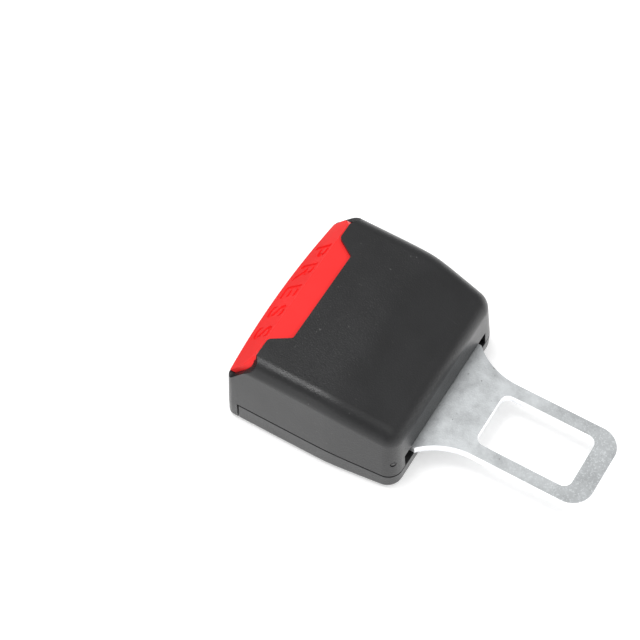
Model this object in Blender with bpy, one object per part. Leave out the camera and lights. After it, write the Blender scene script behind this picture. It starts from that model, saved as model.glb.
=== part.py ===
"""A rigid seat belt extender: a buckle housing with a press button, and a steel tongue plate behind it.

Blender 4.5. Lengths are in metres, +Z is up and the tongue points along +X. The origin is under the
middle of the whole length, at the height of the housing's underside.
"""
import math

import bmesh
import bpy
from mathutils import Matrix, Vector

MM = 0.001

# Clearances
GAP = 0.3 * MM            # between pieces that touch
SLACK = 0.9 * MM          # between pieces that slide past each other
BEYOND = 5.0 * MM         # how far a cutter reaches past what it cuts
LEAST_ROUND = 0.3 * MM    # a rounding is never made smaller than this
HAIR = 0.001 * MM         # too small to see, it keeps two flat faces from falling together

# The whole extender, as a stranger would measure it
BODY_LENGTH = 46.5 * MM   # housing, from the middle of its curved front to its rear face
TONGUE_REACH = 41.6 * MM  # how far the tongue stands out of the rear face
BODY_HEIGHT = 25.0 * MM
BODY_HALF = 26.6 * MM     # half-width over the front half
REAR_INSET = 2.1 * MM     # how much closer each side is at the rear face
REAR_DROP = 5.1 * MM      # how much lower the sloping top is where it reaches the rear face

# Housing surfaces
FRONT_BULGE = 1.5 * MM    # how far the front curves forward in its middle
FRONT_CORNER = 1.9 * MM
REAR_CORNER = 4.0 * MM
SHOULDER_BACK = 17.0 * MM  # the sides begin to taper this far ahead of the rear face
CREASE_BACK = 18.3 * MM    # the top begins to slope this far ahead of the rear face
TOP_FILLET = 4.1 * MM
BOTTOM_FILLET = 1.6 * MM
SIDE_LEAN = math.radians(4.0)
REAR_LEAN = math.radians(3.0)
WALL = 1.5 * MM
FLOOR = 1.8 * MM

FRONT_POINTS = 6          # points on half of the curved front
CORNER_POINTS = 4         # steps round a corner

# Joint between the upper shell and the lower cover
SEAM_DROP = 2.6 * MM      # from the tongue plate's top to the joint over the front half
SEAM_FALL = 1.6 * MM      # how much lower the joint is at the rear face
COVER_BACKSET = 4.8 * MM  # the cover starts this far behind the front's middle

# Opening for the button: the shell's rim seen from the side, then the notch in the top
BUTTON_FACE = 8.5 * MM    # from the housing's top down to the lower edge of the button's front
RIM_START = 2.2 * MM      # measured back from the front's middle
RIM_KNEE = 5.9 * MM       # the rim gets steeper here
RIM_KNEE_DROP = 4.1 * MM  # height of that knee below the housing's top
RIM_TOP = 7.3 * MM
NOTCH_INSET = 10.1 * MM   # from the housing's sides to the notch at the rim
NOTCH_NARROWS = 3.2 * MM  # how much closer each side of the notch is at its rear edge
NOTCH_BACK = 12.2 * MM    # the notch's rear edge, from the front's middle
ROOF_LIP = 0.8 * MM       # the roof's thickness over the button's runway
RUNWAY_INSET = 4.4 * MM   # from the housing's sides to the button's runway

# Button
BUTTON_TRAVEL = 5.0 * MM
BUTTON_RIDGE = 6.6 * MM   # edge between its front face and its top, from the front's middle
BUTTON_INSET = 2.6 * MM   # from the housing's sides to the button's ends
BUTTON_ROUND = 4.3 * MM   # rounding of its two ends
BUTTON_WALL = 1.6 * MM
BUTTON_SHELF = 2.1 * MM   # depth of its top behind the ridge, outside the notch
BUTTON_TAIL = 1.4 * MM    # how far its top reaches under the roof behind the notch
ARM_CLEAR = 1.9 * MM      # from the steel frame to the arms
ARM_INSET = 3.6 * MM      # from the housing's sides to the arms
ARM_DROP = 5.2 * MM       # from the housing's top to the top of the arms
ARM_THICK = 6.0 * MM
ARM_FRONT = 4.4 * MM      # front and rear ends of the arms, from the front's middle
ARM_BACK = 13.0 * MM
EAR_WIDTH = 3.6 * MM
EAR_LENGTH = 4.4 * MM

# Tongue plate
PLATE = 2.35 * MM         # thickness
PLATE_DROP = 9.6 * MM     # from the steel frame's top to the plate's top
ROOT_PROUD = 0.8 * MM     # how far its root stands out beyond the frame's sides
ROOT_LENGTH = 30.0 * MM   # inside the housing
BLADE_HALF = 11.0 * MM
FLARE_RADIUS = 17.5 * MM
FLARE_END = 13.0 * MM
TIP_RADIUS = 5.5 * MM
WINDOW_START = 11.54 * MM
WINDOW_END = 36.18 * MM
WINDOW_HALF = 7.58 * MM
WINDOW_RADIUS = 2.2 * MM
SLOT_INSET = 4.9 * MM     # from the housing's rear corners to the opening in its rear wall

# Steel frame that takes the other belt's tongue
FRAME_STEEL = 2.0 * MM
FRAME_INSET = 11.1 * MM   # from the housing's sides
FRAME_FRONT = 4.6 * MM    # from the front's middle
FRAME_REAR = 3.0 * MM     # ahead of the rear face
FRAME_DROP = 6.4 * MM     # from the housing's top
FRAME_LIP_DROP = 2.8 * MM  # how much lower its sides are under the button
FRAME_CLEAR = 4.0 * MM    # length of that low stretch
FRAME_SLANT = 1.8 * MM
FRAME_CORNER = (3.0 * MM, 4.1 * MM)  # cut off its sides' upper rear corners
STOP_TAB_HALF = 3.6 * MM
STOP_TAB_DROP = 2.6 * MM  # from the frame's top
MOUTH_INSET = 1.0 * MM    # from the frame's sides to the mouth for the belt's tongue

# Latch
PIVOT_BACK = 8.0 * MM     # ahead of the rear face
PIVOT_DROP = 2.4 * MM     # from the frame's top
PIN_RADIUS = 1.25 * MM
EYE_RADIUS = 2.2 * MM
LATCH_DROP = 1.7 * MM     # from the frame's top to its underside
LATCH_STEEL = 1.6 * MM
LATCH_REACH = 19.4 * MM   # from the pivot to its front edge
LATCH_CLEAR = 2.5 * MM    # from the frame's inner sides to its arms
LATCH_ARM = 3.8 * MM      # width of an arm
LATCH_BRIDGE = 6.4 * MM   # length of the plate that joins the arms
TOOTH_REACH = 18.0 * MM
TOOTH_LENGTH = 2.2 * MM
TOOTH_HALF = 5.6 * MM
TOOTH_DROP = 0.9 * MM     # below the latch
LATCH_SPRING_WIRE = 0.35 * MM
LATCH_SPRING_TURNS = 4

# Ejector
EJECTOR_FRONT = 28.0 * MM  # ahead of the rear face
EJECTOR_LENGTH = 6.4 * MM
EJECTOR_HALF = 4.5 * MM
TOOTH_REST = 0.4 * MM     # from the ejector's top to the tooth
EJECTOR_RAMP_LENGTH = 3.4 * MM
EJECTOR_RAMP_DROP = 1.6 * MM
SPIGOT_LENGTH = 2.0 * MM

# Compression springs
BUTTON_COIL = (1.7 * MM, 0.25 * MM)   # radius to the middle of the wire, radius of the wire
EJECTOR_COIL = (1.2 * MM, 0.2 * MM)
SPRING_TURNS = 6
POINTS_PER_TURN = 8
CLOSED_TURNS = 0.75       # turns at each end that lie against each other
CLOSED_PITCH = 2.3        # their pitch, in radii of the wire

# Release bar that the button pushes over the latch
BAR_RADIUS = 1.3 * MM

# Rivets, pegs and the housing's ribs
RIVET_RADIUS = 2.0 * MM
RIVET_HEAD = 3.3 * MM
RIVET_HEAD_HEIGHT = 1.0 * MM
RIVET_INSET = 5.5 * MM    # from the frame's sides
RIVET_REAR = 7.0 * MM     # the rear pair, ahead of the rear face
RIVET_STEP = 7.0 * MM     # from the rear pair to the front pair
PEG_RADIUS = 1.6 * MM
PEG_PLACE = 25.0 * MM     # ahead of the rear face
PEG_INSET = 4.8 * MM      # from the root's sides
RIB = 1.5 * MM
RIB_AHEAD = 2.0 * MM      # how far the hold-down ribs reach ahead of the crease
SPRING_RIB_PLACE = 16.6 * MM  # ahead of the rear face
HOOK_REAR = 11.0 * MM     # the rear hooks, ahead of the rear face
HOOK_STEP = 23.0 * MM     # from the rear hooks to the front ones
HOOK_HALF = 2.4 * MM
HOOK_THICK = 1.1 * MM
HOOK_BARB = 0.6 * MM
HOOK_RISE = 5.0 * MM      # how far they stand above the joint
HOOK_NOSE = 2.0 * MM      # height of the barb
PIP_RADIUS = 0.6 * MM
PIP_PROUD = 0.35 * MM
PIP_RISE = 5.2 * MM       # above the joint at the rear face

# Places along the length that follow from the sizes above
X_REAR = (BODY_LENGTH - TONGUE_REACH) / 2
X_FRONT = X_REAR - BODY_LENGTH
X_TIP = X_REAR + TONGUE_REACH
X_CREASE = X_REAR - CREASE_BACK
X_SHOULDER = X_REAR - SHOULDER_BACK
X_COVER = X_FRONT + COVER_BACKSET
TOP_SLOPE = REAR_DROP / CREASE_BACK
SIDE_TAPER = REAR_INSET / SHOULDER_BACK
NOTCH_TAPER = NOTCH_NARROWS / (NOTCH_BACK - RIM_TOP)
HOOK_PLACES = (X_REAR - HOOK_REAR - HOOK_STEP, X_REAR - HOOK_REAR)

# Widths that follow
REAR_HALF = BODY_HALF - REAR_INSET
SLOT_HALF = REAR_HALF - SLOT_INSET
NOTCH_MOUTH = BODY_HALF - NOTCH_INSET
NOTCH_END = NOTCH_MOUTH - NOTCH_NARROWS
TONGUE_END_HALF = NOTCH_END - 1.5 * GAP  # half-width of the button's top at the notch's rear edge
FRAME_HALF = BODY_HALF - FRAME_INSET
ROOT_HALF = FRAME_HALF + ROOT_PROUD
PEG_SIDE = ROOT_HALF - PEG_INSET
MOUTH_HALF = FRAME_HALF - MOUTH_INSET
RIVET_SIDE = FRAME_HALF - RIVET_INSET
LATCH_ARM_OUTER = FRAME_HALF - FRAME_STEEL - LATCH_CLEAR
LATCH_ARM_INNER = LATCH_ARM_OUTER - LATCH_ARM
RUNWAY_HALF = BODY_HALF - RUNWAY_INSET
BUTTON_HALF = BODY_HALF - BUTTON_INSET
ARM_INNER = FRAME_HALF + ARM_CLEAR
ARM_OUTER = BODY_HALF - ARM_INSET
ARM_MIDDLE = (ARM_INNER + ARM_OUTER) / 2
EAR_INNER = FRAME_HALF + SLACK

# Heights that follow
RUNWAY_TOP = BODY_HEIGHT - ROOF_LIP
BUTTON_TOP = RUNWAY_TOP - GAP
BUTTON_LOW = BODY_HEIGHT - BUTTON_FACE
KNEE_HEIGHT = BODY_HEIGHT - RIM_KNEE_DROP
EAR_HIGH = BUTTON_TOP - BUTTON_WALL / 2
ARM_HIGH = BODY_HEIGHT - ARM_DROP
ARM_LOW = ARM_HIGH - ARM_THICK
FRAME_TOP = BODY_HEIGHT - FRAME_DROP
FRAME_LIP = FRAME_TOP - FRAME_LIP_DROP
STOP_TAB_TOP = FRAME_TOP - STOP_TAB_DROP
PIVOT_HEIGHT = FRAME_TOP - PIVOT_DROP
LATCH_LOW = FRAME_TOP - LATCH_DROP
TOOTH_LOW = LATCH_LOW - TOOTH_DROP
EJECTOR_TOP = TOOTH_LOW - TOOTH_REST
PLATE_TOP = FRAME_TOP - PLATE_DROP
PLATE_LOW = PLATE_TOP - PLATE
SEAM_FRONT = PLATE_TOP - SEAM_DROP
SEAM_REAR = SEAM_FRONT - SEAM_FALL
HOOK_TOP = SEAM_FRONT + HOOK_RISE
PIP_HEIGHT = SEAM_REAR + PIP_RISE
SEAT_TOP = PLATE_LOW - GAP
FRAME_LOW = PLATE_TOP + GAP
FRAME_FLOOR = FRAME_LOW + FRAME_STEEL
MOUTH_LOW = FRAME_FLOOR - GAP
BAR_HEIGHT = FRAME_TOP + GAP + BAR_RADIUS
EJECTOR_LOW = FRAME_FLOOR + GAP
SPRING_AXIS = EJECTOR_LOW + sum(EJECTOR_COIL) + GAP / 2
BUTTON_SLOPE_HEIGHT = BUTTON_TOP - BUTTON_LOW
ARM_AXIS = (ARM_LOW + ARM_HIGH) / 2

BLACK = (0.045, 0.045, 0.047)
RED = (0.86, 0.025, 0.022)
ZINC = (0.52, 0.54, 0.56)
BRIGHT = (0.62, 0.62, 0.63)
WHITE = (0.75, 0.74, 0.70)


def new_collection(name):
    group = bpy.data.collections.new(name)
    bpy.context.scene.collection.children.link(group)
    return group


def clear_scene():
    for old in list(bpy.data.objects):
        bpy.data.objects.remove(old, do_unlink=True)


def make_material(name, colour, roughness, metallic):
    material = bpy.data.materials.new(name)
    material.use_nodes = True
    shader = material.node_tree.nodes["Principled BSDF"]
    shader.inputs["Base Color"].default_value = (*colour, 1.0)
    shader.inputs["Roughness"].default_value = roughness
    shader.inputs["Metallic"].default_value = metallic
    return material


clear_scene()
PARTS = new_collection("seat_belt_extender")
CUTTERS = new_collection("cutters")
PLASTIC = make_material("black_plastic", BLACK, 0.5, 0.0)
BUTTON_PLASTIC = make_material("red_plastic", RED, 0.4, 0.0)
ZINC_STEEL = make_material("zinc_steel", ZINC, 0.38, 0.9)
BRIGHT_STEEL = make_material("bright_steel", BRIGHT, 0.28, 1.0)
INNER_PLASTIC = make_material("inner_plastic", WHITE, 0.45, 0.0)


def add_mesh(name, mesh, material=None):
    """Put a mesh in the scene: as a part where it has a material, else as a cutter."""
    item = bpy.data.objects.new(name, mesh)
    if material is None:
        CUTTERS.objects.link(item)
        item.hide_render = True
        item.display_type = "WIRE"
    else:
        PARTS.objects.link(item)
        mesh.materials.append(material)
    return item


def mesh_from(name, shape):
    bmesh.ops.recalc_face_normals(shape, faces=shape.faces)
    mesh = bpy.data.meshes.new(name)
    shape.to_mesh(mesh)
    shape.free()
    return mesh


def box(name, low, high, material=None):
    """A block between two opposite corners."""
    shape = bmesh.new()
    size = Vector(high) - Vector(low)
    place = Matrix.Translation((Vector(low) + Vector(high)) / 2) @ Matrix.Diagonal((*size, 1.0))
    bmesh.ops.create_cube(shape, size=1.0, matrix=place)
    return add_mesh(name, mesh_from(name, shape), material)


def rod(name, radius, start, end, material=None, sides=24):
    """A round bar between two points."""
    shape = bmesh.new()
    along = Vector(end) - Vector(start)
    turn = along.to_track_quat("Z", "Y").to_matrix().to_4x4()
    place = Matrix.Translation((Vector(start) + Vector(end)) / 2) @ turn
    bmesh.ops.create_cone(shape, cap_ends=True, segments=sides, radius1=radius, radius2=radius,
                          depth=along.length, matrix=place)
    return add_mesh(name, mesh_from(name, shape), material)


def curve_to_mesh(curve):
    """Turn a curve object into a welded mesh, with its place applied."""
    bpy.context.view_layer.update()
    view = bpy.context.evaluated_depsgraph_get()
    mesh = bpy.data.meshes.new_from_object(curve.evaluated_get(view))
    mesh.transform(curve.matrix_world)
    shape = bmesh.new()
    shape.from_mesh(mesh)
    bmesh.ops.remove_doubles(shape, verts=shape.verts, dist=HAIR)
    bpy.data.meshes.remove(mesh)
    bpy.data.objects.remove(curve, do_unlink=True)
    return shape


def outline_solid(name, points, thickness, place, material=None, holes=()):
    """A flat outline made thick on both sides of its own plane, then placed by a matrix."""
    curve = bpy.data.curves.new(name, "CURVE")
    curve.dimensions = "2D"
    curve.fill_mode = "BOTH"
    curve.extrude = thickness / 2
    for ring in (points, *holes):
        spline = curve.splines.new("POLY")
        spline.points.add(len(ring) - 1)
        for point, (u, v) in zip(spline.points, ring):
            point.co = (u, v, 0.0, 1.0)
        spline.use_cyclic_u = True
    item = bpy.data.objects.new(name, curve)
    CUTTERS.objects.link(item)
    item.matrix_world = place
    return add_mesh(name, mesh_from(name, curve_to_mesh(item)), material)


def side_profile(name, points, low_y, high_y, material=None):
    """A prism across the width from an outline given as x and z."""
    place = Matrix.Translation((0.0, (low_y + high_y) / 2, 0.0)) @ Matrix.Rotation(math.pi / 2, 4, "X")
    return outline_solid(name, points, high_y - low_y, place, material)


def plan_profile(name, points, low_z, high_z, material=None, holes=()):
    """A prism in height from an outline given as x and y."""
    place = Matrix.Translation((0.0, 0.0, (low_z + high_z) / 2))
    return outline_solid(name, points, high_z - low_z, place, material, holes)


def boolean(target, tool, operation):
    change = target.modifiers.new(tool.name, "BOOLEAN")
    change.operation = operation
    change.solver = "EXACT"
    change.object = tool


def cut(target, tool):
    boolean(target, tool, "DIFFERENCE")


def join(target, tool):
    boolean(target, tool, "UNION")


def shade_round(mesh):
    """Shade a round piece smooth and keep its ends crisp."""
    mesh.shade_smooth()
    mesh.set_sharp_from_angle(angle=math.radians(50))


def set_origin(item, point):
    """Move an object's origin to a point and leave its shape where it is."""
    item.data.transform(Matrix.Translation(-Vector(point)))
    item.location = point


def arc(centre, radius, start, end, steps):
    """Points along an arc, angles in degrees."""
    turns = [math.radians(start + (end - start) * i / steps) for i in range(steps + 1)]
    return [(centre[0] + radius * math.cos(t), centre[1] + radius * math.sin(t)) for t in turns]


def mirrored(half):
    """Close an outline from its half at y >= 0."""
    return half + [(x, -y) for x, y in reversed(half) if y > 1e-9]


def front_x(y):
    """The housing's front curves forward in its middle."""
    return X_FRONT + FRONT_BULGE * (y / BODY_HALF) ** 2


def top_z(x):
    """Height of the housing's top before its edges are rounded."""
    return BODY_HEIGHT - TOP_SLOPE * max(0.0, x - X_CREASE)


def seam_z(x):
    """Height of the joint between shell and cover."""
    share = min(1.0, max(0.0, (x - X_SHOULDER) / SHOULDER_BACK))
    return SEAM_FRONT - SEAM_FALL * share


def plan_half(side, front, rear, rounding):
    """Half of the housing's outline seen from above, moved inward by an amount for each wall."""
    half = BODY_HALF - side
    corner = max(FRONT_CORNER - front, LEAST_ROUND)
    start = half - corner
    places = [start * i / FRONT_POINTS for i in range(FRONT_POINTS)]
    points = [(front_x(y) + front, y) for y in places]
    points += arc((front_x(start) + front + corner, start), corner, 180, 90, CORNER_POINTS)
    points += [(X_CREASE, half), (X_SHOULDER, half)]
    corner = max(REAR_CORNER - rounding, LEAST_ROUND)
    end = X_REAR - rear
    side_end = half - SIDE_TAPER * (end - corner - X_SHOULDER)
    points += arc((end - corner, side_end - corner), corner, 90, 0, CORNER_POINTS)
    points.append((end, 0.0))
    return points


def housing_rings(inset, floor, low_steps, fillet_steps):
    """Outlines of the housing from the bottom up, as rings of points of equal number."""
    rings = []
    low_round = max(BOTTOM_FILLET - inset, LEAST_ROUND) if low_steps else 0.0
    for i in range(low_steps + 1):
        angle = math.pi / 2 * i / max(low_steps, 1)
        inward = inset + low_round * (1 - math.sin(angle))
        height = floor + low_round * (1 - math.cos(angle))
        rings.append([(x, y, height) for x, y in mirrored(plan_half(inward, inward, inward, inward))])
    top_round = TOP_FILLET - inset
    begin = max(SIDE_LEAN, REAR_LEAN)
    for i in range(-1, fillet_steps + 1):
        angle = begin + (math.pi / 2 - begin) * max(i, 0) / fillet_steps
        drop = top_round * (1 - math.sin(angle)) + inset
        rise = 0.0 if i < 0 else BODY_HEIGHT - SEAM_FRONT - TOP_FILLET
        curl = top_round * (math.cos(begin) - math.cos(angle))
        side = inset + rise * math.tan(SIDE_LEAN) + curl
        rear = inset + rise * math.tan(REAR_LEAN) + curl
        outline = mirrored(plan_half(side, inset, rear, inset + curl))
        if i < 0:
            rings.append([(x, y, seam_z(x) + GAP / 2) for x, y in outline])
        else:
            rings.append([(x, y, top_z(x) - drop) for x, y in outline])
    return rings


def loft(name, rings, material=None):
    """Skin between rings of points, closed below and, in two planes that meet at the crease, above."""
    shape = bmesh.new()
    levels = [[shape.verts.new(p) for p in ring] for ring in rings]
    count = len(levels[0])
    for low, high in zip(levels, levels[1:]):
        for i in range(count):
            j = (i + 1) % count
            shape.faces.new((low[i], low[j], high[j], high[i]))
    shape.faces.new(list(reversed(levels[0])))
    top = levels[-1]
    crease = [i for i, v in enumerate(top) if abs(v.co.x - X_CREASE) < HAIR]
    shape.faces.new(top[crease[0]:crease[1] + 1])
    shape.faces.new(top[crease[1]:] + top[:crease[0] + 1])
    bmesh.ops.triangulate(shape, faces=shape.faces)
    return add_mesh(name, mesh_from(name, shape), material)


def hollow_housing(name, material):
    """The whole housing as one thin box, from which the shell and the cover are cut."""
    body = loft(name, housing_rings(0.0, 0.0, 2, 5), material)
    cavity = loft(name + "_cavity", housing_rings(WALL, FLOOR, 0, 3))
    cut(body, cavity)
    return body


def seam_profile(grow):
    """Side outline of the space that the lower cover fills, larger by a clearance."""
    deep = -BEYOND
    beyond = X_REAR + BEYOND
    return [(X_COVER - grow, deep), (X_COVER - grow, SEAM_FRONT + grow), (X_SHOULDER, SEAM_FRONT + grow),
            (X_REAR, SEAM_REAR + grow), (beyond, SEAM_REAR + grow), (beyond, deep)]


def rim_profile():
    """Side outline of the space in front of the shell's rim."""
    ahead = X_FRONT - BEYOND
    above = BODY_HEIGHT + BEYOND
    low = BUTTON_LOW - GAP
    rim_top = X_FRONT + RIM_TOP
    return [(ahead, low), (X_FRONT + RIM_START, low), (X_FRONT + RIM_KNEE, KNEE_HEIGHT),
            (rim_top, BODY_HEIGHT), (rim_top, above), (ahead, above)]


def cut_button_opening(shell):
    wide = BODY_HALF + BEYOND
    cut(shell, side_profile("rim_cut", rim_profile(), -wide, wide))
    rim = X_FRONT + RIM_TOP
    end = X_FRONT + NOTCH_BACK
    ahead = X_FRONT - BEYOND
    notch = [(ahead, NOTCH_MOUTH), (rim, NOTCH_MOUTH), (end, NOTCH_END)]
    cut(shell, plan_profile("notch_cut", mirrored(notch), BUTTON_LOW, BODY_HEIGHT + BEYOND))
    room = BUTTON_HALF + GAP
    cut(shell, box("end_room_cut", (ahead, -room, BUTTON_LOW - GAP), (rim, room, KNEE_HEIGHT)))
    runway_end = end + BUTTON_TAIL + BUTTON_TRAVEL + SLACK
    cut(shell, box("runway_cut", (ahead, -RUNWAY_HALF, BUTTON_LOW), (runway_end, RUNWAY_HALF, RUNWAY_TOP)))


def cut_rear_slot(shell):
    cut(shell, box("slot_cut", (X_REAR - REAR_CORNER, -SLOT_HALF, 0.0),
                   (X_REAR + BEYOND, SLOT_HALF, PLATE_TOP + GAP)))


def hook_side(x, height):
    """Half-width of the shell's inner wall at a place."""
    lean = max(0.0, height - seam_z(x)) * math.tan(SIDE_LEAN)
    return BODY_HALF - SIDE_TAPER * max(0.0, x - X_SHOULDER) - lean - WALL


def cut_hook_pockets(shell):
    """Shallow pockets inside the side walls that the cover's hooks snap into."""
    for x in HOOK_PLACES:
        inner = hook_side(x, HOOK_TOP)
        low = HOOK_TOP - HOOK_NOSE
        for side in (1, -1):
            near, far = sorted((side * (inner - SLACK), side * (inner + HOOK_BARB + GAP)))
            cut(shell, box("hook_pocket", (x - HOOK_HALF - GAP, near, low - GAP),
                           (x + HOOK_HALF + GAP, far, HOOK_TOP + GAP)))


def add_shell_ribs(shell):
    """Ribs that hold the frame down, and the walls that the button's springs push against."""
    roof = BODY_HEIGHT - WALL
    for side in (1, -1):
        middle = side * (FRAME_HALF - FRAME_STEEL / 2)
        ahead = X_CREASE - RIB_AHEAD
        back = X_REAR - FRAME_REAR - FRAME_CORNER[0]
        rib = [(ahead, FRAME_TOP + GAP), (back, FRAME_TOP + GAP), (back, top_z(back) - WALL / 2),
               (X_CREASE, roof + WALL / 2), (ahead, roof + WALL / 2)]
        join(shell, side_profile("hold_down_rib", rib, middle - RIB / 2, middle + RIB / 2))
        x = X_REAR - SPRING_RIB_PLACE
        near, far = sorted((side * (ARM_INNER + GAP), side * (hook_side(x, ARM_AXIS) + WALL / 2)))
        join(shell, box("spring_wall", (x, near, ARM_LOW), (x + RIB, far, top_z(x + RIB) - TOP_FILLET)))


def add_pips(shell):
    """A small round pip on each rear corner."""
    turn = math.sqrt(0.5)
    centre = X_REAR - REAR_CORNER
    half = REAR_HALF - REAR_CORNER
    lean = (PIP_HEIGHT - SEAM_REAR) * math.tan(SIDE_LEAN)
    for side in (1, -1):
        reach = REAR_CORNER - lean
        root = turn * (reach - WALL / 2)
        inner = Vector((centre + root, side * (half + root), PIP_HEIGHT))
        outer = inner + Vector((turn, side * turn, 0.0)) * (WALL / 2 + PIP_PROUD)
        join(shell, rod("corner_pip", PIP_RADIUS, inner, outer, sides=12))


def make_upper_shell():
    shell = hollow_housing("upper_shell", PLASTIC)
    add_shell_ribs(shell)
    add_pips(shell)
    wide = BODY_HALF + BEYOND
    cut(shell, side_profile("cover_space", seam_profile(GAP), -wide, wide))
    cut_button_opening(shell)
    cut(shell, box("mouth_cut", (X_FRONT - BEYOND, -MOUTH_HALF, MOUTH_LOW),
                   (X_COVER, MOUTH_HALF, BUTTON_LOW)))
    cut_rear_slot(shell)
    cut_hook_pockets(shell)
    return shell


def add_cover_ribs(cover):
    """A rib under each edge of the tongue plate's root, and a peg through it on each side."""
    start = X_REAR - ROOT_LENGTH
    for side in (-1, 1):
        y = side * (ROOT_HALF - RIB)
        join(cover, box("edge_rib", (start, y - RIB / 2, FLOOR / 2), (X_REAR - RIB, y + RIB / 2, SEAT_TOP)))
        x = X_REAR - PEG_PLACE
        y = side * PEG_SIDE
        join(cover, rod("peg", PEG_RADIUS, (x, y, FLOOR / 2), (x, y, PLATE_TOP - GAP), sides=16))


def add_cover_hooks(cover):
    """Springy hooks along the cover's sides that snap into the shell's pockets."""
    for x in HOOK_PLACES:
        outer = hook_side(x, HOOK_TOP) - GAP
        low = HOOK_TOP - HOOK_NOSE + GAP
        hook = [(outer - HOOK_THICK, FLOOR / 2), (outer, FLOOR / 2), (outer, low),
                (outer + HOOK_BARB, low), (outer, HOOK_TOP), (outer - HOOK_THICK, HOOK_TOP)]
        for side in (1, -1):
            turn = Matrix(((0, 0, 1, x), (side, 0, 0, 0), (0, 1, 0, 0), (0, 0, 0, 1)))
            join(cover, outline_solid("hook", hook, 2 * HOOK_HALF, turn))


def make_lower_cover():
    cover = hollow_housing("lower_cover", PLASTIC)
    wide = BODY_HALF + BEYOND
    boolean(cover, side_profile("cover_limit", seam_profile(0.0), -wide, wide), "INTERSECT")
    add_cover_ribs(cover)
    add_cover_hooks(cover)
    return cover


def end_height(y, half, rounding, top):
    """Height of a rounded end above its spring line, as seen from the front."""
    out = abs(y) - (half - rounding)
    if out <= 0:
        return top
    return top - rounding + math.sqrt(max(rounding ** 2 - out ** 2, 0.0))


def spigot_radius(coil):
    """A spigot that fits inside a spring."""
    return coil[0] - coil[1] - 1.5 * GAP


def button_back(y):
    """Rear edge of the button's top: a shelf under the rim, and a tongue that fills the notch."""
    shelf = BUTTON_RIDGE + BUTTON_SHELF
    if y <= TONGUE_END_HALF - BUTTON_TAIL:
        return X_FRONT + NOTCH_BACK + BUTTON_TAIL
    return X_FRONT + max(shelf, NOTCH_BACK - max(0.0, y - TONGUE_END_HALF) / NOTCH_TAPER)


def button_stations(half, flat):
    """Places across the button's width where its side outline is set."""
    foot = TONGUE_END_HALF + NOTCH_TAPER * (NOTCH_BACK - BUTTON_RIDGE - BUTTON_SHELF)
    curved = [flat + (half - flat) * math.sin(math.radians(a)) for a in (22, 44, 64, 82, 90)]
    right = [0.0, flat / 3, TONGUE_END_HALF - BUTTON_TAIL, TONGUE_END_HALF, foot, flat] + curved
    return [-y for y in reversed(right[1:])] + right


def button_section(y, inset):
    """Side outline of the button's nose at one place along its width."""
    top = end_height(y, BUTTON_HALF - inset, BUTTON_ROUND - inset, BUTTON_TOP - inset)
    low = BUTTON_LOW if inset == 0 else ARM_LOW
    slope = (X_FRONT + BUTTON_RIDGE - front_x(y)) / BUTTON_SLOPE_HEIGHT
    foot = front_x(y) + inset * math.hypot(1.0, slope)
    back = button_back(abs(y)) if inset == 0 else X_CREASE
    return [(foot - slope * (BUTTON_LOW - low), y, low), (foot + slope * (top - BUTTON_LOW), y, top),
            (back, y, top), (back, y, low)]


def button_nose(name, inset, material=None):
    """A loft across the width, between side outlines that grow lower towards the rounded ends."""
    half = BUTTON_HALF - inset
    stations = button_stations(half, half - (BUTTON_ROUND - inset))
    shape = bmesh.new()
    rings = [[shape.verts.new(p) for p in button_section(y, inset)] for y in stations]
    for one, two in zip(rings, rings[1:]):
        for i in range(4):
            j = (i + 1) % 4
            shape.faces.new((one[i], one[j], two[j], two[i]))
    shape.faces.new(rings[0])
    shape.faces.new(list(reversed(rings[-1])))
    bmesh.ops.triangulate(shape, faces=shape.faces)
    return add_mesh(name, mesh_from(name, shape), material)


def make_press_button():
    button = button_nose("press_button", 0.0, BUTTON_PLASTIC)
    cut(button, button_nose("nose_hollow", BUTTON_WALL))
    ridge = X_FRONT + BUTTON_RIDGE
    arm_front = X_FRONT + ARM_FRONT
    arm_end = X_FRONT + ARM_BACK
    for side in (1, -1):
        near, far = sorted((side * ARM_INNER, side * ARM_OUTER))
        join(button, box("arm", (arm_front, near, ARM_LOW), (arm_end, far, ARM_HIGH)))
        near, far = sorted((side * EAR_INNER, side * (EAR_INNER + EAR_WIDTH)))
        join(button, box("bar_ear", (arm_end - EAR_LENGTH, near, ARM_LOW + GAP),
                         (arm_end - GAP, far, EAR_HIGH)))
        middle = (side * ARM_MIDDLE, ARM_AXIS)
        join(button, rod("spigot", spigot_radius(BUTTON_COIL), (arm_end - GAP, *middle),
                         (arm_end + SPIGOT_LENGTH, *middle), sides=12))
    bar = bar_place()
    reach = EAR_INNER + EAR_WIDTH - SLACK + GAP
    cut(button, rod("bar_hole", BAR_RADIUS + GAP, (bar[0], -reach, bar[2]), (bar[0], reach, bar[2])))
    set_origin(button, (ridge, 0.0, BUTTON_TOP))
    return button


def bar_place():
    """Middle of the release bar."""
    return (X_FRONT + ARM_BACK - EAR_LENGTH / 2, 0.0, BAR_HEIGHT)


def make_release_bar():
    x, _, z = bar_place()
    reach = EAR_INNER + EAR_WIDTH - SLACK
    bar = rod("release_bar", BAR_RADIUS, (x, -reach, z), (x, reach, z), BRIGHT_STEEL)
    shade_round(bar.data)
    set_origin(bar, (x, 0.0, z))
    return bar


def rounded_box(centre_x, half_x, half_y, radius, steps=4):
    """Outline of a rectangle with round corners, centred on y = 0."""
    points = []
    for sx, sy, start in ((1, 1, 0), (-1, 1, 90), (-1, -1, 180), (1, -1, 270)):
        corner = (centre_x + sx * (half_x - radius), sy * (half_y - radius))
        points += arc(corner, radius, start, start + 90, steps)
    return points


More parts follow.
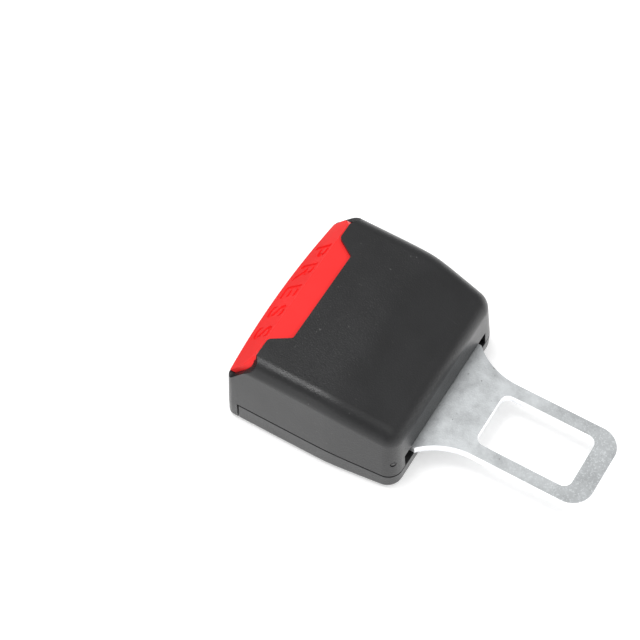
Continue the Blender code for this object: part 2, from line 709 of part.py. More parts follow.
def make_tongue_plate():
    start = X_REAR - ROOT_LENGTH
    flare = X_REAR + FLARE_END
    centre_y = BLADE_HALF + FLARE_RADIUS
    open_angle = math.degrees(math.acos((centre_y - ROOT_HALF) / FLARE_RADIUS))
    half = [(start, 0.0), (start, ROOT_HALF)]
    half += arc((flare, centre_y), FLARE_RADIUS, 270 - open_angle, 270, 8)
    half += arc((X_TIP - TIP_RADIUS, BLADE_HALF - TIP_RADIUS), TIP_RADIUS, 90, 0, 6)
    window = rounded_box(X_REAR + (WINDOW_START + WINDOW_END) / 2, (WINDOW_END - WINDOW_START) / 2,
                         WINDOW_HALF, WINDOW_RADIUS)
    plate = plan_profile("tongue_plate", mirrored(half), PLATE_LOW, PLATE_TOP, ZINC_STEEL, [window])
    for x, y in rivet_places():
        cut(plate, rod("rivet_hole", RIVET_RADIUS + GAP, (x, y, 0.0), (x, y, 2 * PLATE_TOP), sides=16))
    for side in (1, -1):
        x, y = X_REAR - PEG_PLACE, side * PEG_SIDE
        cut(plate, rod("peg_hole", PEG_RADIUS + GAP, (x, y, 0.0), (x, y, 2 * PLATE_TOP), sides=16))
    return plate


def rivet_places():
    rear = X_REAR - RIVET_REAR
    return [(x, side * RIVET_SIDE) for x in (rear, rear - RIVET_STEP) for side in (1, -1)]


def make_rivets():
    """A rivet with a flat head below the plate and one above the frame."""
    for number, (x, y) in enumerate(rivet_places(), start=1):
        low = PLATE_LOW - GAP
        high = FRAME_FLOOR + GAP
        into = RIVET_HEAD_HEIGHT / 2
        rivet = rod(f"rivet_{number}", RIVET_RADIUS, (x, y, low - into), (x, y, high + into), ZINC_STEEL, 16)
        foot = rod("rivet_foot", RIVET_HEAD, (x, y, low - RIVET_HEAD_HEIGHT), (x, y, low), sides=16)
        head = rod("rivet_head", RIVET_HEAD, (x, y, high), (x, y, high + RIVET_HEAD_HEIGHT), sides=16)
        join(rivet, foot)
        join(rivet, head)
        set_origin(rivet, (x, y, low))


def make_buckle_frame():
    """A steel channel whose floor is riveted to the tongue plate."""
    front = X_FRONT + FRAME_FRONT
    rear = X_REAR - FRAME_REAR
    high = front + FRAME_CLEAR
    profile = [(front, FRAME_LOW), (rear, FRAME_LOW), (rear, FRAME_TOP - FRAME_CORNER[1]),
               (rear - FRAME_CORNER[0], FRAME_TOP), (high + FRAME_SLANT, FRAME_TOP),
               (high, FRAME_LIP), (front, FRAME_LIP)]
    frame = side_profile("buckle_frame", profile, -FRAME_HALF, FRAME_HALF, BRIGHT_STEEL)
    inner = FRAME_HALF - FRAME_STEEL
    cut(frame, box("channel", (front - BEYOND, -inner, FRAME_FLOOR),
                   (rear + BEYOND, inner, 2 * FRAME_TOP)))
    tab = box("stop_tab", (rear - FRAME_STEEL, -STOP_TAB_HALF, FRAME_FLOOR - FRAME_STEEL / 2),
              (rear, STOP_TAB_HALF, STOP_TAB_TOP))
    join(frame, tab)
    pivot = pivot_point()
    cut(frame, rod("pin_hole", PIN_RADIUS + GAP, (pivot[0], -BODY_HALF, pivot[2]),
                   (pivot[0], BODY_HALF, pivot[2])))
    for x, y in rivet_places():
        cut(frame, rod("rivet_hole", RIVET_RADIUS + GAP, (x, y, 0.0), (x, y, STOP_TAB_TOP), sides=16))
    return frame


def pivot_point():
    return (X_REAR - PIVOT_BACK, 0.0, PIVOT_HEIGHT)


def make_latch_pin():
    x, _, z = pivot_point()
    reach = FRAME_HALF + SLACK
    pin = rod("latch_pin", PIN_RADIUS, (x, -reach, z), (x, reach, z), BRIGHT_STEEL)
    shade_round(pin.data)
    set_origin(pin, (x, 0.0, z))
    return pin


def make_latch_plate():
    """A fork that turns on the pin, with a tooth under its front."""
    x, _, z = pivot_point()
    front = x - LATCH_REACH
    top = LATCH_LOW + LATCH_STEEL
    latch = box("latch_plate", (front, -LATCH_ARM_OUTER, LATCH_LOW),
                (front + LATCH_BRIDGE, LATCH_ARM_OUTER, top), BRIGHT_STEEL)
    for side in (1, -1):
        near, far = sorted((side * LATCH_ARM_INNER, side * LATCH_ARM_OUTER))
        join(latch, box("fork_arm", (front + GAP, near, LATCH_LOW), (x, far, top - HAIR)))
        join(latch, rod("eye", EYE_RADIUS, (x, near, z), (x, far, z)))
    tooth = [(x - TOOTH_REACH, LATCH_LOW + GAP), (x - TOOTH_REACH, TOOTH_LOW),
             (x - TOOTH_REACH + TOOTH_LENGTH, TOOTH_LOW), (x - TOOTH_REACH + TOOTH_LENGTH, LATCH_LOW + GAP)]
    join(latch, side_profile("tooth", tooth, -TOOTH_HALF, TOOTH_HALF))
    cut(latch, rod("eye_hole", PIN_RADIUS + GAP, (x, -BODY_HALF, z), (x, BODY_HALF, z)))
    set_origin(latch, (x, 0.0, z))
    return latch


def make_ejector():
    """A plastic slider with a ramp on its nose, which holds the tooth up while no tongue is in."""
    front = X_REAR - EJECTOR_FRONT
    back = front + EJECTOR_LENGTH
    profile = [(front, EJECTOR_LOW), (back, EJECTOR_LOW), (back, EJECTOR_TOP),
               (front + EJECTOR_RAMP_LENGTH, EJECTOR_TOP), (front, EJECTOR_TOP - EJECTOR_RAMP_DROP)]
    ejector = side_profile("ejector", profile, -EJECTOR_HALF, EJECTOR_HALF, INNER_PLASTIC)
    join(ejector, rod("ejector_spigot", spigot_radius(EJECTOR_COIL), (back - GAP, 0.0, SPRING_AXIS),
                      (back + SPIGOT_LENGTH, 0.0, SPRING_AXIS), sides=12))
    set_origin(ejector, (front, 0.0, EJECTOR_LOW))
    return ejector


def wire(name, points, radius, material):
    """A wire along a list of points, with closed ends."""
    curve = bpy.data.curves.new(name, "CURVE")
    curve.dimensions = "3D"
    curve.bevel_depth = radius
    curve.bevel_resolution = 2
    curve.use_fill_caps = True
    spline = curve.splines.new("POLY")
    spline.points.add(len(points) - 1)
    for point, place in zip(spline.points, points):
        point.co = (*place, 1.0)
    item = bpy.data.objects.new(name, curve)
    CUTTERS.objects.link(item)
    mesh = mesh_from(name, curve_to_mesh(item))
    shade_round(mesh)
    return add_mesh(name, mesh, material)


def coil_points(coil, length, turns):
    """A coil about the X axis, from x = 0 to its length, with closed turns at both ends."""
    radius, wire_radius = coil
    pitch = CLOSED_PITCH * wire_radius
    open_length = length - 2 * wire_radius - 2 * CLOSED_TURNS * pitch
    points = []
    for i in range(turns * POINTS_PER_TURN + 1):
        turn = i / POINTS_PER_TURN
        closed = min(turn, CLOSED_TURNS) + max(turn - (turns - CLOSED_TURNS), 0.0)
        share = min(max((turn - CLOSED_TURNS) / (turns - 2 * CLOSED_TURNS), 0.0), 1.0)
        angle = 2 * math.pi * turn
        x = wire_radius + closed * pitch + share * open_length
        points.append((x, radius * math.cos(angle), radius * math.sin(angle)))
    return points


def make_spring(name, coil, start, end):
    """A compression spring between two points on a line along X."""
    spring = wire(name, coil_points(coil, end[0] - start[0], SPRING_TURNS), coil[1], BRIGHT_STEEL)
    spring.location = start
    return spring


def make_springs():
    x = X_FRONT + ARM_BACK + GAP
    end = X_REAR - SPRING_RIB_PLACE - GAP
    for name, side in (("button_spring_left", 1), ("button_spring_right", -1)):
        y = side * ARM_MIDDLE
        make_spring(name, BUTTON_COIL, (x, y, ARM_AXIS), (end, y, ARM_AXIS))
    x = X_REAR - EJECTOR_FRONT + EJECTOR_LENGTH + GAP
    end = X_REAR - FRAME_REAR - FRAME_STEEL - GAP
    make_spring("ejector_spring", EJECTOR_COIL, (x, 0.0, SPRING_AXIS), (end, 0.0, SPRING_AXIS))


def make_latch_spring():
    """A torsion spring on the pin: one leg on the latch's plate, the other on the frame's tab."""
    x, _, z = pivot_point()
    radius = PIN_RADIUS + GAP + LATCH_SPRING_WIRE
    far = LATCH_ARM_INNER - GAP - LATCH_SPRING_WIRE
    near = STOP_TAB_HALF - LATCH_SPRING_WIRE
    plate_leg = LATCH_LOW + LATCH_STEEL + GAP + LATCH_SPRING_WIRE - z
    points = [(-LATCH_REACH + LATCH_BRIDGE - SLACK, far, plate_leg)]
    count = LATCH_SPRING_TURNS * POINTS_PER_TURN
    for i in range(count + 1):
        angle = math.pi / 2 + 2 * math.pi * i / POINTS_PER_TURN
        points.append((radius * math.cos(angle), far + (near - far) * i / count, radius * math.sin(angle)))
    tab_leg = STOP_TAB_TOP + GAP + LATCH_SPRING_WIRE - z
    points.append((PIVOT_BACK - FRAME_REAR - FRAME_STEEL / 2, near, tab_leg))
    spring = wire("latch_spring", points, LATCH_SPRING_WIRE, BRIGHT_STEEL)
    spring.location = (x, 0.0, z)
    return spring


def build():
    make_upper_shell()
    make_lower_cover()
    make_press_button()
    make_release_bar()
    make_tongue_plate()
    make_buckle_frame()
    make_rivets()
    make_latch_pin()
    make_latch_plate()
    make_latch_spring()
    make_ejector()
    make_springs()


build()
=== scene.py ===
"""Rigid seat belt extender: a black moulded housing with a red press button, and a steel tongue.

The frame gives the pieces at their real size. This script makes their fine shapes and finishes.
Lengths are in metres, +Z is up and the tongue points along +X.
"""
import math

import bmesh
import bpy
from bpy.props import FloatProperty, FloatVectorProperty, IntProperty, PointerProperty, StringProperty
from mathutils import Matrix, Vector


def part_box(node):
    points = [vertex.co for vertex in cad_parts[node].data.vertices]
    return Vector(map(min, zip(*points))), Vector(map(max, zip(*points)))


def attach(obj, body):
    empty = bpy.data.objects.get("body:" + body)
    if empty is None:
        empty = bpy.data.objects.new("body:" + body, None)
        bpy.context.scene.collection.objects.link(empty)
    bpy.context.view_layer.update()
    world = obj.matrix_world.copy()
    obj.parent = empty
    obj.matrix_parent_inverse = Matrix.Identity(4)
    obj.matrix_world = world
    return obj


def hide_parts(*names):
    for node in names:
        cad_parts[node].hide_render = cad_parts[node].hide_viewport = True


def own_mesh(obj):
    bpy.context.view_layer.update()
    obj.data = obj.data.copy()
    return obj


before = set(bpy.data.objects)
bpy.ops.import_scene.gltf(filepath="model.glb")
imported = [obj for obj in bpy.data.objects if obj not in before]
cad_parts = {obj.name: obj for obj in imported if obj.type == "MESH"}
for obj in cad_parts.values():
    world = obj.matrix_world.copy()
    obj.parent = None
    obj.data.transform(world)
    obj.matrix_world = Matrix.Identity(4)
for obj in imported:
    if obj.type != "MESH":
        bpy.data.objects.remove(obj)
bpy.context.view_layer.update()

bl_info = {
    "name": "Seat belt extender",
    "version": (1, 0, 0),
    "blender": (4, 5, 0),
    "location": "3D View > Sidebar > Extender",
    "description": "Makes the fine shapes and the finishes of a rigid seat belt extender",
    "category": "Object",
}

MM = 0.001
GAP = 0.3 * MM            # between pieces that touch
SLACK = 0.9 * MM          # between pieces that slide past each other
BEYOND = 5.0 * MM         # how far a cutter reaches past what it cuts
HAIR = 0.02 * MM          # too small to see, it keeps two flat faces from falling together
WELD = 0.001 * MM         # points of a curve's mesh that are closer than this become one

# Faces that meet at more than this many degrees keep a crisp edge
SHARP = 32.0
SHELL_SHARP = 22.0
PLATE_SHARP = 15.0
SPRING_SHARP = 60.0
RIVET_SHARP = 40.0

# Edges that are sharper than this many degrees are rounded
SEAM_ANGLE = 38.0
BUTTON_ANGLE = 30.0
PLATE_ANGLE = 50.0
PIP_ANGLE = 60.0

# Fineness of the housing's outline and roundings
FRONT_STEPS = 14
CORNER_STEPS = 12
SIDE_STEPS = 30
LOW_STEPS = 8
FILLET_STEPS = 14
SEAM_STEPS = 24
RIM_STEPS = 14
NOSE_STEPS = 12
HOLE_STEPS = 32
PIP_SIDES = 24

# Places and sizes that the frame gives
SHELL_LOW, SHELL_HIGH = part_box("upper_shell")
COVER_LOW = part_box("lower_cover")[0]
PLATE_CORNER, TIP_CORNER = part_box("tongue_plate")
BUTTON_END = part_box("press_button")[1]
FRAME_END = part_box("buckle_frame")[1]
X_FRONT = SHELL_LOW.x
X_REAR = SHELL_HIGH.x
X_COVER = COVER_LOW.x
X_ROOT = PLATE_CORNER.x
X_TIP = TIP_CORNER.x
BODY_HALF = SHELL_HIGH.y
BODY_HEIGHT = SHELL_HIGH.z
PLATE_LOW = PLATE_CORNER.z
PLATE_TOP = TIP_CORNER.z
ROOT_HALF = TIP_CORNER.y
BUTTON_TOP = BUTTON_END.z
BUTTON_HALF = BUTTON_END.y
FRAME_TOP = FRAME_END.z

# Housing, as the frame's solids have it
REAR_HALF = 24.5 * MM
REAR_HEIGHT = 19.9 * MM
FRONT_BULGE = 1.5 * MM
FRONT_CORNER = 1.9 * MM
REAR_CORNER = 4.0 * MM
X_SHOULDER = X_REAR - 17.0 * MM
X_CREASE = X_REAR - 18.3 * MM
TOP_FILLET = 4.1 * MM
BOTTOM_FILLET = 1.6 * MM
SIDE_LEAN = math.radians(4.0)
REAR_LEAN = math.radians(3.0)
WALL = 1.5 * MM
FLOOR = 1.8 * MM
LEAST_ROUND = 0.3 * MM
SEAM_FRONT = 6.4 * MM
SEAM_REAR = 4.8 * MM
SIDE_TAPER = (BODY_HALF - REAR_HALF) / (X_REAR - X_SHOULDER)
TOP_SLOPE = (BODY_HEIGHT - REAR_HEIGHT) / (X_REAR - X_CREASE)
SEAM_GAP = 0.42 * MM      # between the two shells, and over the plate in the rear slot
SLOT_HALF = 19.6 * MM
MOUTH_HALF = 14.5 * MM
MOUTH_LOW = 11.0 * MM
MOUTH_ROUND = 0.8 * MM

# Opening for the button, measured back from the front's middle
BUTTON_LOW = 16.5 * MM
RIM_START = 2.2 * MM
RIM_START_ROUND = 0.4 * MM
RIM_KNEE = (5.9 * MM, 20.9 * MM)
RIM_TOP = 7.3 * MM
RIM_STRAIGHT = 21.0 * MM  # half of the rim's straight stretch
NOTCH_MOUTH = 16.5 * MM
NOTCH_END = 13.3 * MM
NOTCH_BACK = 12.2 * MM
ROOF_LIP = 0.8 * MM
RUNWAY_HALF = 22.2 * MM
RUNWAY_TOP = BODY_HEIGHT - ROOF_LIP

# Button
BUTTON_TRAVEL = 5.0 * MM
BUTTON_RIDGE = 6.6 * MM
BUTTON_ROUND = 4.3 * MM
BUTTON_WALL = 1.6 * MM
BUTTON_SHELF = 2.1 * MM
BUTTON_TAIL = 1.4 * MM
BUTTON_COVERED = 0.9 * MM  # how far its top reaches under the notch's sides
ARM_INNER = 17.4 * MM
ARM_OUTER = 23.0 * MM
ARM_LOW = 13.8 * MM
ARM_HIGH = 19.8 * MM
ARM_FRONT = 4.4 * MM
ARM_BACK = 13.0 * MM
ARM_AXIS = (ARM_LOW + ARM_HIGH) / 2
ARM_MIDDLE = (ARM_INNER + ARM_OUTER) / 2
EAR_INNER = 16.4 * MM
EAR_WIDTH = 3.6 * MM
EAR_LENGTH = 4.4 * MM
EAR_HIGH = 23.1 * MM
SPIGOT_RADIUS = 1.0 * MM
SPIGOT_LENGTH = 2.0 * MM

# Tongue plate
BLADE_HALF = 11.0 * MM
FLARE_RADIUS = 17.5 * MM
FLARE_END = 13.0 * MM
TIP_RADIUS = 5.5 * MM
WINDOW_START = 11.54 * MM
WINDOW_END = 36.18 * MM
WINDOW_HALF = 7.58 * MM
WINDOW_RADIUS = 2.2 * MM
BRIGHT_BAND_HEIGHT = 1.3 * MM        # height of the sheared edge's bright band, a painted highlight on burnished steel; dull below
RIVET_RADIUS = 2.0 * MM
RIVET_HEAD_HEIGHT = 1.0 * MM
RIVET_PLACES = (7.0 * MM, 14.0 * MM)
RIVET_SIDE = 10.0 * MM
PEG_RADIUS = 1.6 * MM
PEG_PLACE = 25.0 * MM
PEG_SIDE = 11.5 * MM

# Compression springs: node, radius of the wire, joint that squeezes it and how far
SPRINGS = (("button_spring_left", 0.25 * MM, "button_press", BUTTON_TRAVEL),
           ("button_spring_right", 0.25 * MM, "button_press", BUTTON_TRAVEL),
           ("ejector_spring", 0.2 * MM, "ejector_slide", 10.0 * MM))
CLOSED_TURNS = 0.75       # turns at each end that lie close
CLOSED_PITCH = 2.3        # their pitch, in radii of the wire

# Ribs, hooks and pips of the housing
RIB = 1.5 * MM
RIB_AHEAD = 2.0 * MM
HOLD_DOWN_SIDE = 14.5 * MM
HOLD_DOWN_END = 6.0 * MM
SPRING_RIB_PLACE = 16.6 * MM
HOOK_PLACES = (34.0 * MM, 11.0 * MM)
HOOK_HALF = 2.4 * MM
HOOK_THICK = 1.1 * MM
HOOK_BARB = 0.6 * MM
HOOK_TOP = 11.4 * MM
HOOK_NOSE = 2.0 * MM
PIP_RADIUS = 0.6 * MM
PIP_RING = 0.2 * MM        # width and depth of the ring round a pip
PIP_HEIGHT = 10.0 * MM

# Height of the grain on the two smooth plastics, and how uneven their colour is
BUTTON_GRAIN = 0.012 * MM
EJECTOR_GRAIN = 0.01 * MM
SLIGHT = 0.04

# Colours of dust, dark specks, the sheared edge's bright band (painted highlight) and dull band, and the
# floor's dark reflection
DUST = (0.32, 0.32, 0.31, 1.0)
DARK_SPECK = (0.12, 0.12, 0.11, 1.0)
BRIGHT_EDGE = (0.92, 0.93, 0.94, 1.0)
DULL_EDGE = (0.72, 0.73, 0.75, 1.0)
DARK_FLOOR = (0.05, 0.05, 0.05, 1.0)

# Bare steels inside: roughness, mottle and scale of the patches
BARE_STEELS = {"spring_steel": (0.3, 0.2, 900.0), "rivet_steel": (0.36, 0.4, 700.0),
               "bright_steel": (0.3, 0.3, 800.0)}

# Lamps: name, place, width and height, setting of its strength; all point at the origin
LAMPS = (("overhead", (-0.26, -0.03, 0.91), (0.33, 0.33), "key"),
         ("wide_fill", (0.55, 0.0, 0.75), (0.7, 0.7), "fill"),
         ("low_beside", (-0.26, -0.88, 0.26), (0.9, 0.4), "low"))
# Camera at the photo's angle: its place, its right side and the way to its back
CAMERA_PLACE = (0.1097, -0.2386, 0.4612)
CAMERA_RIGHT = (0.859, 0.5121, 0.0)
CAMERA_BACK = (0.2701, -0.4531, 0.8495)
SENSOR = 36.0
FLOOR_HALF = 3.0
FLOOR_DROP = 0.02 * MM    # the floor lies this far below the housing
DARK_AHEAD = (20 * MM, 4 * MM)  # ahead of the front: the floor's reflection is dark, and has faded out
DARK_SIDES = (50 * MM, 110 * MM)  # to each side: it begins to fade, and has faded out
FLOOR_GLOW = 0.36         # the floor's own light towards the camera
MIRRORED_GLOW = 0.72      # and in reflections
WHITE = (1.0, 1.0, 1.0, 1.0)


def length_setting(name, description, default, least=0.0):
    """A setting that is a length in metres."""
    return FloatProperty(name=name, description=description, unit="LENGTH", min=least, default=default)


def share_setting(name, description, default):
    """A setting between 0 and 1."""
    return FloatProperty(name=name, description=description, min=0.0, max=1.0, default=default)


def strength_setting(name, description, default):
    """A setting that is never negative."""
    return FloatProperty(name=name, description=description, min=0.0, default=default)


def colour_setting(name, description, default):
    """A setting that is a colour."""
    return FloatVectorProperty(name=name, description=description, subtype="COLOR", size=3,
                               min=0.0, max=1.0, default=default)


class HousingSettings(bpy.types.PropertyGroup):
    """Sizes and colours of the black housing."""
    plastic: colour_setting("Plastic", "Colour of the black plastic", (0.008, 0.0082, 0.0090))
    grain: length_setting("Grain", "Height of the moulded grain", 0.07 * MM)
    dust: share_setting("Dust", "How much light dust lies on the plastic", 0.25)
    roughness: share_setting("Roughness", "Roughness of the plastic", 0.32)
    gloss: share_setting("Gloss", "Strength of the plastic's reflections", 0.42)
    crease_soft: length_setting("Crease softness", "Length over which the top bends", 3.2 * MM)
    shoulder_soft: length_setting("Shoulder softness", "Length over which the sides bend", 2.6 * MM)
    edge: length_setting("Edge", "Rounding of the joint's edges", 0.22 * MM)
    rim_turn: length_setting("Rim turn", "Length over which the opening's rim bends back",
                             1.2 * MM, 0.1 * MM)
    rim_round: length_setting("Rim corners", "Rounding of the opening's corners", 1.3 * MM)


class ButtonSettings(bpy.types.PropertyGroup):
    """Colour and lettering of the press button."""
    red: colour_setting("Red", "Colour of the button", (0.91, 0.031, 0.030))
    roughness: share_setting("Roughness", "Roughness of the button", 0.36)
    gloss: share_setting("Gloss", "Strength of the button's reflections", 0.15)
    edge: length_setting("Edge", "Rounding of the button's edges", 0.35 * MM)
    word: StringProperty(name="Word", description="Plain word pressed into the front", default="PRESS")
    letter_size: length_setting("Letter size", "Height of the type", 9.2 * MM)
    letter_step: length_setting("Letter step", "Distance from letter to letter", 6.7 * MM)
    letter_depth: length_setting("Letter depth", "Depth of the letters", 0.4 * MM)
    letter_bold: length_setting("Letter weight", "How much wider each side of a stroke is", 0.14 * MM)


class TongueSettings(bpy.types.PropertyGroup):
    """Finish of the steel tongue plate."""
    zinc: colour_setting("Zinc", "Colour of the plated steel", (0.54, 0.56, 0.57))
    roughness: share_setting("Roughness", "Roughness of the plating", 0.42)
    mottle: share_setting("Mottle", "Strength of the mottled plating", 0.5)
    edge: length_setting("Edge", "Rounding of the sheared edge", 0.16 * MM)


class InsideSettings(bpy.types.PropertyGroup):
    """Springs, pins and rivets inside the housing."""
    steel: colour_setting("Steel", "Colour of the bare steel", (0.50, 0.50, 0.51))
    ejector: colour_setting("Ejector", "Colour of the ejector", (0.62, 0.60, 0.55))
    turns: IntProperty(name="Turns", description="Turns of a compression spring", min=2, default=6)
    wire_points: IntProperty(name="Points a turn", description="Fineness of the springs", min=8, default=24)


class StageSettings(bpy.types.PropertyGroup):
    """Camera, floor and lamps."""
    lens: strength_setting("Lens", "Focal length in millimetres on a 36 mm sensor", 123.75)
    key: strength_setting("Main lamp", "Strength of the small lamp overhead", 3.5)
    fill: strength_setting("Fill lamp", "Strength of the wide lamp over the tongue", 1.3)
    low: strength_setting("Low lamp", "Strength of the wide low lamp beside the housing", 1.4)
    sky: strength_setting("Surroundings", "Brightness of the surroundings", 0.72)
    floor: share_setting("Floor", "Brightness of the pale floor", 0.86)


def add_object(name, mesh, material=None):
    """Link a mesh as an object at the origin."""
    item = bpy.data.objects.new(name, mesh)
    bpy.context.scene.collection.objects.link(item)
    if material is not None:
        mesh.materials.clear()
        mesh.materials.append(material)
    return item


def mesh_from(name, shape):
    """A mesh with its faces outward, from a bmesh that is then freed."""
    bmesh.ops.recalc_face_normals(shape, faces=shape.faces)
    mesh = bpy.data.meshes.new(name)
    shape.to_mesh(mesh)
    shape.free()
    return mesh


def box(name, low, high):
    """A block between two opposite corners."""
    shape = bmesh.new()
    size = Vector(high) - Vector(low)
    place = Matrix.Translation((Vector(low) + Vector(high)) / 2) @ Matrix.Diagonal((*size, 1.0))
    bmesh.ops.create_cube(shape, size=1.0, matrix=place)
    return add_object(name, mesh_from(name, shape))


def rod(name, radius, start, end, sides=40):
    """A round bar between two points."""
    shape = bmesh.new()
    along = Vector(end) - Vector(start)
    turn = along.to_track_quat("Z", "Y").to_matrix().to_4x4()
    place = Matrix.Translation((Vector(start) + Vector(end)) / 2) @ turn
    bmesh.ops.create_cone(shape, cap_ends=True, segments=sides, radius1=radius, radius2=radius,
                          depth=along.length, matrix=place)
    return add_object(name, mesh_from(name, shape))


def evaluated(item):
    """The object's shape as a mesh, with its modifiers applied."""
    bpy.context.view_layer.update()
    view = bpy.context.evaluated_depsgraph_get()
    mesh = bpy.data.meshes.new_from_object(item.evaluated_get(view))
    mesh.name = item.name
    return mesh


def apply_modifiers(item):
    """Keep the object's shape as its plain mesh."""
    mesh = evaluated(item)
    item.modifiers.clear()
    item.data = mesh


def curve_object(name, curve, place):
    """A curve made into a welded mesh object, with its place in the mesh."""
    item = bpy.data.objects.new(name, curve)
    bpy.context.scene.collection.objects.link(item)
    mesh = evaluated(item)
    bpy.data.objects.remove(item, do_unlink=True)
    mesh.transform(place)
    shape = bmesh.new()
    shape.from_mesh(mesh)
    bmesh.ops.remove_doubles(shape, verts=shape.verts, dist=WELD)
    return add_object(name, mesh_from(name, shape))


def outline_solid(name, points, thickness, place, holes=()):
    """A flat outline made thick on both sides of its own plane, then placed by a matrix."""
    curve = bpy.data.curves.new(name, "CURVE")
    curve.dimensions = "2D"
    curve.fill_mode = "BOTH"
    curve.extrude = thickness / 2
    for ring in (points, *holes):
        spline = curve.splines.new("POLY")
        spline.points.add(len(ring) - 1)
        for point, (u, v) in zip(spline.points, ring):
            point.co = (u, v, 0.0, 1.0)
        spline.use_cyclic_u = True
    return curve_object(name, curve, place)


def side_profile(name, points, low_y, high_y):
    """A prism across the width from an outline given as x and z."""
    place = Matrix.Translation((0.0, (low_y + high_y) / 2, 0.0)) @ Matrix.Rotation(math.pi / 2, 4, "X")
    return outline_solid(name, points, high_y - low_y, place)


def plan_profile(name, points, low_z, high_z, holes=()):
    """A prism in height from an outline given as x and y."""
    place = Matrix.Translation((0.0, 0.0, (low_z + high_z) / 2))
    return outline_solid(name, points, high_z - low_z, place, holes)


def boolean(target, tool, operation="DIFFERENCE"):
    """Cut a tool from an object, or join it, and remove the tool."""
    change = target.modifiers.new("boolean", "BOOLEAN")
    change.operation = operation
    change.solver = "EXACT"
    change.object = tool
    apply_modifiers(target)
    bpy.data.objects.remove(tool, do_unlink=True)


def round_edges(item, width, angle, segments=3):
    """Round every edge that is sharper than an angle."""
    change = item.modifiers.new("edges", "BEVEL")
    change.width = width
    change.segments = segments
    change.limit_method = "ANGLE"
    change.angle_limit = math.radians(angle)
    change.use_clamp_overlap = True
    apply_modifiers(item)


def shade(item, angle=SHARP):
    """Shade smooth with crisp edges, and let the large faces lead so that they stay flat."""
    item.data.shade_smooth()
    item.data.set_sharp_from_angle(angle=math.radians(angle))
    lead = item.modifiers.new("lead", "WEIGHTED_NORMAL")
    lead.mode = "FACE_AREA_WITH_ANGLE"
    lead.keep_sharp = True
    apply_modifiers(item)


def finish_piece(item, name, material, body, slot, *nodes):
    """Name a finished piece, give it its material, tie it to its body and hide the nodes that it stands
    for.
    """
    item.name = name
    item.data.name = name
    item.data.materials.clear()
    item.data.materials.append(material)
    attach(item, body)
    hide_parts(*nodes)


def arc(centre, radius, start, end, steps):
    """Points along an arc, angles in degrees."""
    turns = [math.radians(start + (end - start) * i / steps) for i in range(steps + 1)]
    return [(centre[0] + radius * math.cos(t), centre[1] + radius * math.sin(t)) for t in turns]


def rounded(points, radii, steps=6):
    """An outline with its corners rounded, each by its own radius."""
    out = []
    for i, (point, radius) in enumerate(zip(points, radii)):
        here = Vector(point)
        if radius == 0.0:
            out.append(tuple(here))
            continue
        back = (Vector(points[i - 1]) - here).normalized()
        ahead = (Vector(points[(i + 1) % len(points)]) - here).normalized()
        half = back.angle(ahead) / 2
        centre = here + (back + ahead).normalized() * (radius / math.sin(half))
        first = (here + back * (radius / math.tan(half)) - centre).normalized()
        last = (here + ahead * (radius / math.tan(half)) - centre).normalized()
        out += [tuple(centre + first.slerp(last, step / steps) * radius) for step in range(steps + 1)]
    return out


def mirrored(half):
    """Close an outline from its half at y >= 0."""
    return half + [(x, -y) for x, y in reversed(half) if y > HAIR]


def eased(distance, softness):
    """Zero before a bend and the distance after it, with a soft turn between."""
    return (distance + math.sqrt(distance * distance + softness * softness)) / 2


def front_x(y):
    """The housing's front curves forward in its middle."""
    return X_FRONT + FRONT_BULGE * (y / BODY_HALF) ** 2


def top_z(x, soft):
    """Height of the housing's top before its edges are rounded."""
    return BODY_HEIGHT - TOP_SLOPE * eased(x - X_CREASE, soft)


def seam_z(x, soft):
    """Height of the joint between shell and cover."""
    fall = (SEAM_FRONT - SEAM_REAR) / (X_REAR - X_SHOULDER)
    return SEAM_FRONT - fall * eased(x - X_SHOULDER, soft)


def side_y(x, half, soft):
    """Half-width of the housing at a place along its length."""
    return half - SIDE_TAPER * eased(x - X_SHOULDER, soft)


def plan_half(side, front, rear, rounding, soft):
    """Half of the housing's outline seen from above, moved inward by an amount for each wall."""
    half = BODY_HALF - side
    corner = max(FRONT_CORNER - front, LEAST_ROUND)
    start = half - corner
    across = [start * i / FRONT_STEPS for i in range(FRONT_STEPS)]
    points = [(front_x(y) + front, y) for y in across]
    points += arc((front_x(start) + front + corner, start), corner, 180, 90, CORNER_STEPS)
    corner = max(REAR_CORNER - rounding, LEAST_ROUND)
    tilt = math.atan(SIDE_TAPER)
    end = X_REAR - rear
    centre = (end - corner, side_y(end - corner, half, soft) - corner / math.cos(tilt))
    last = arc(centre, corner, 90 - math.degrees(tilt), 0, CORNER_STEPS)
    first_x, last_x = points[-1][0], last[0][0]
    for i in range(1, SIDE_STEPS):
        x = first_x + (last_x - first_x) * i / SIDE_STEPS
        points.append((x, side_y(x, half, soft)))
    return points + last + [(end, 0.0)]


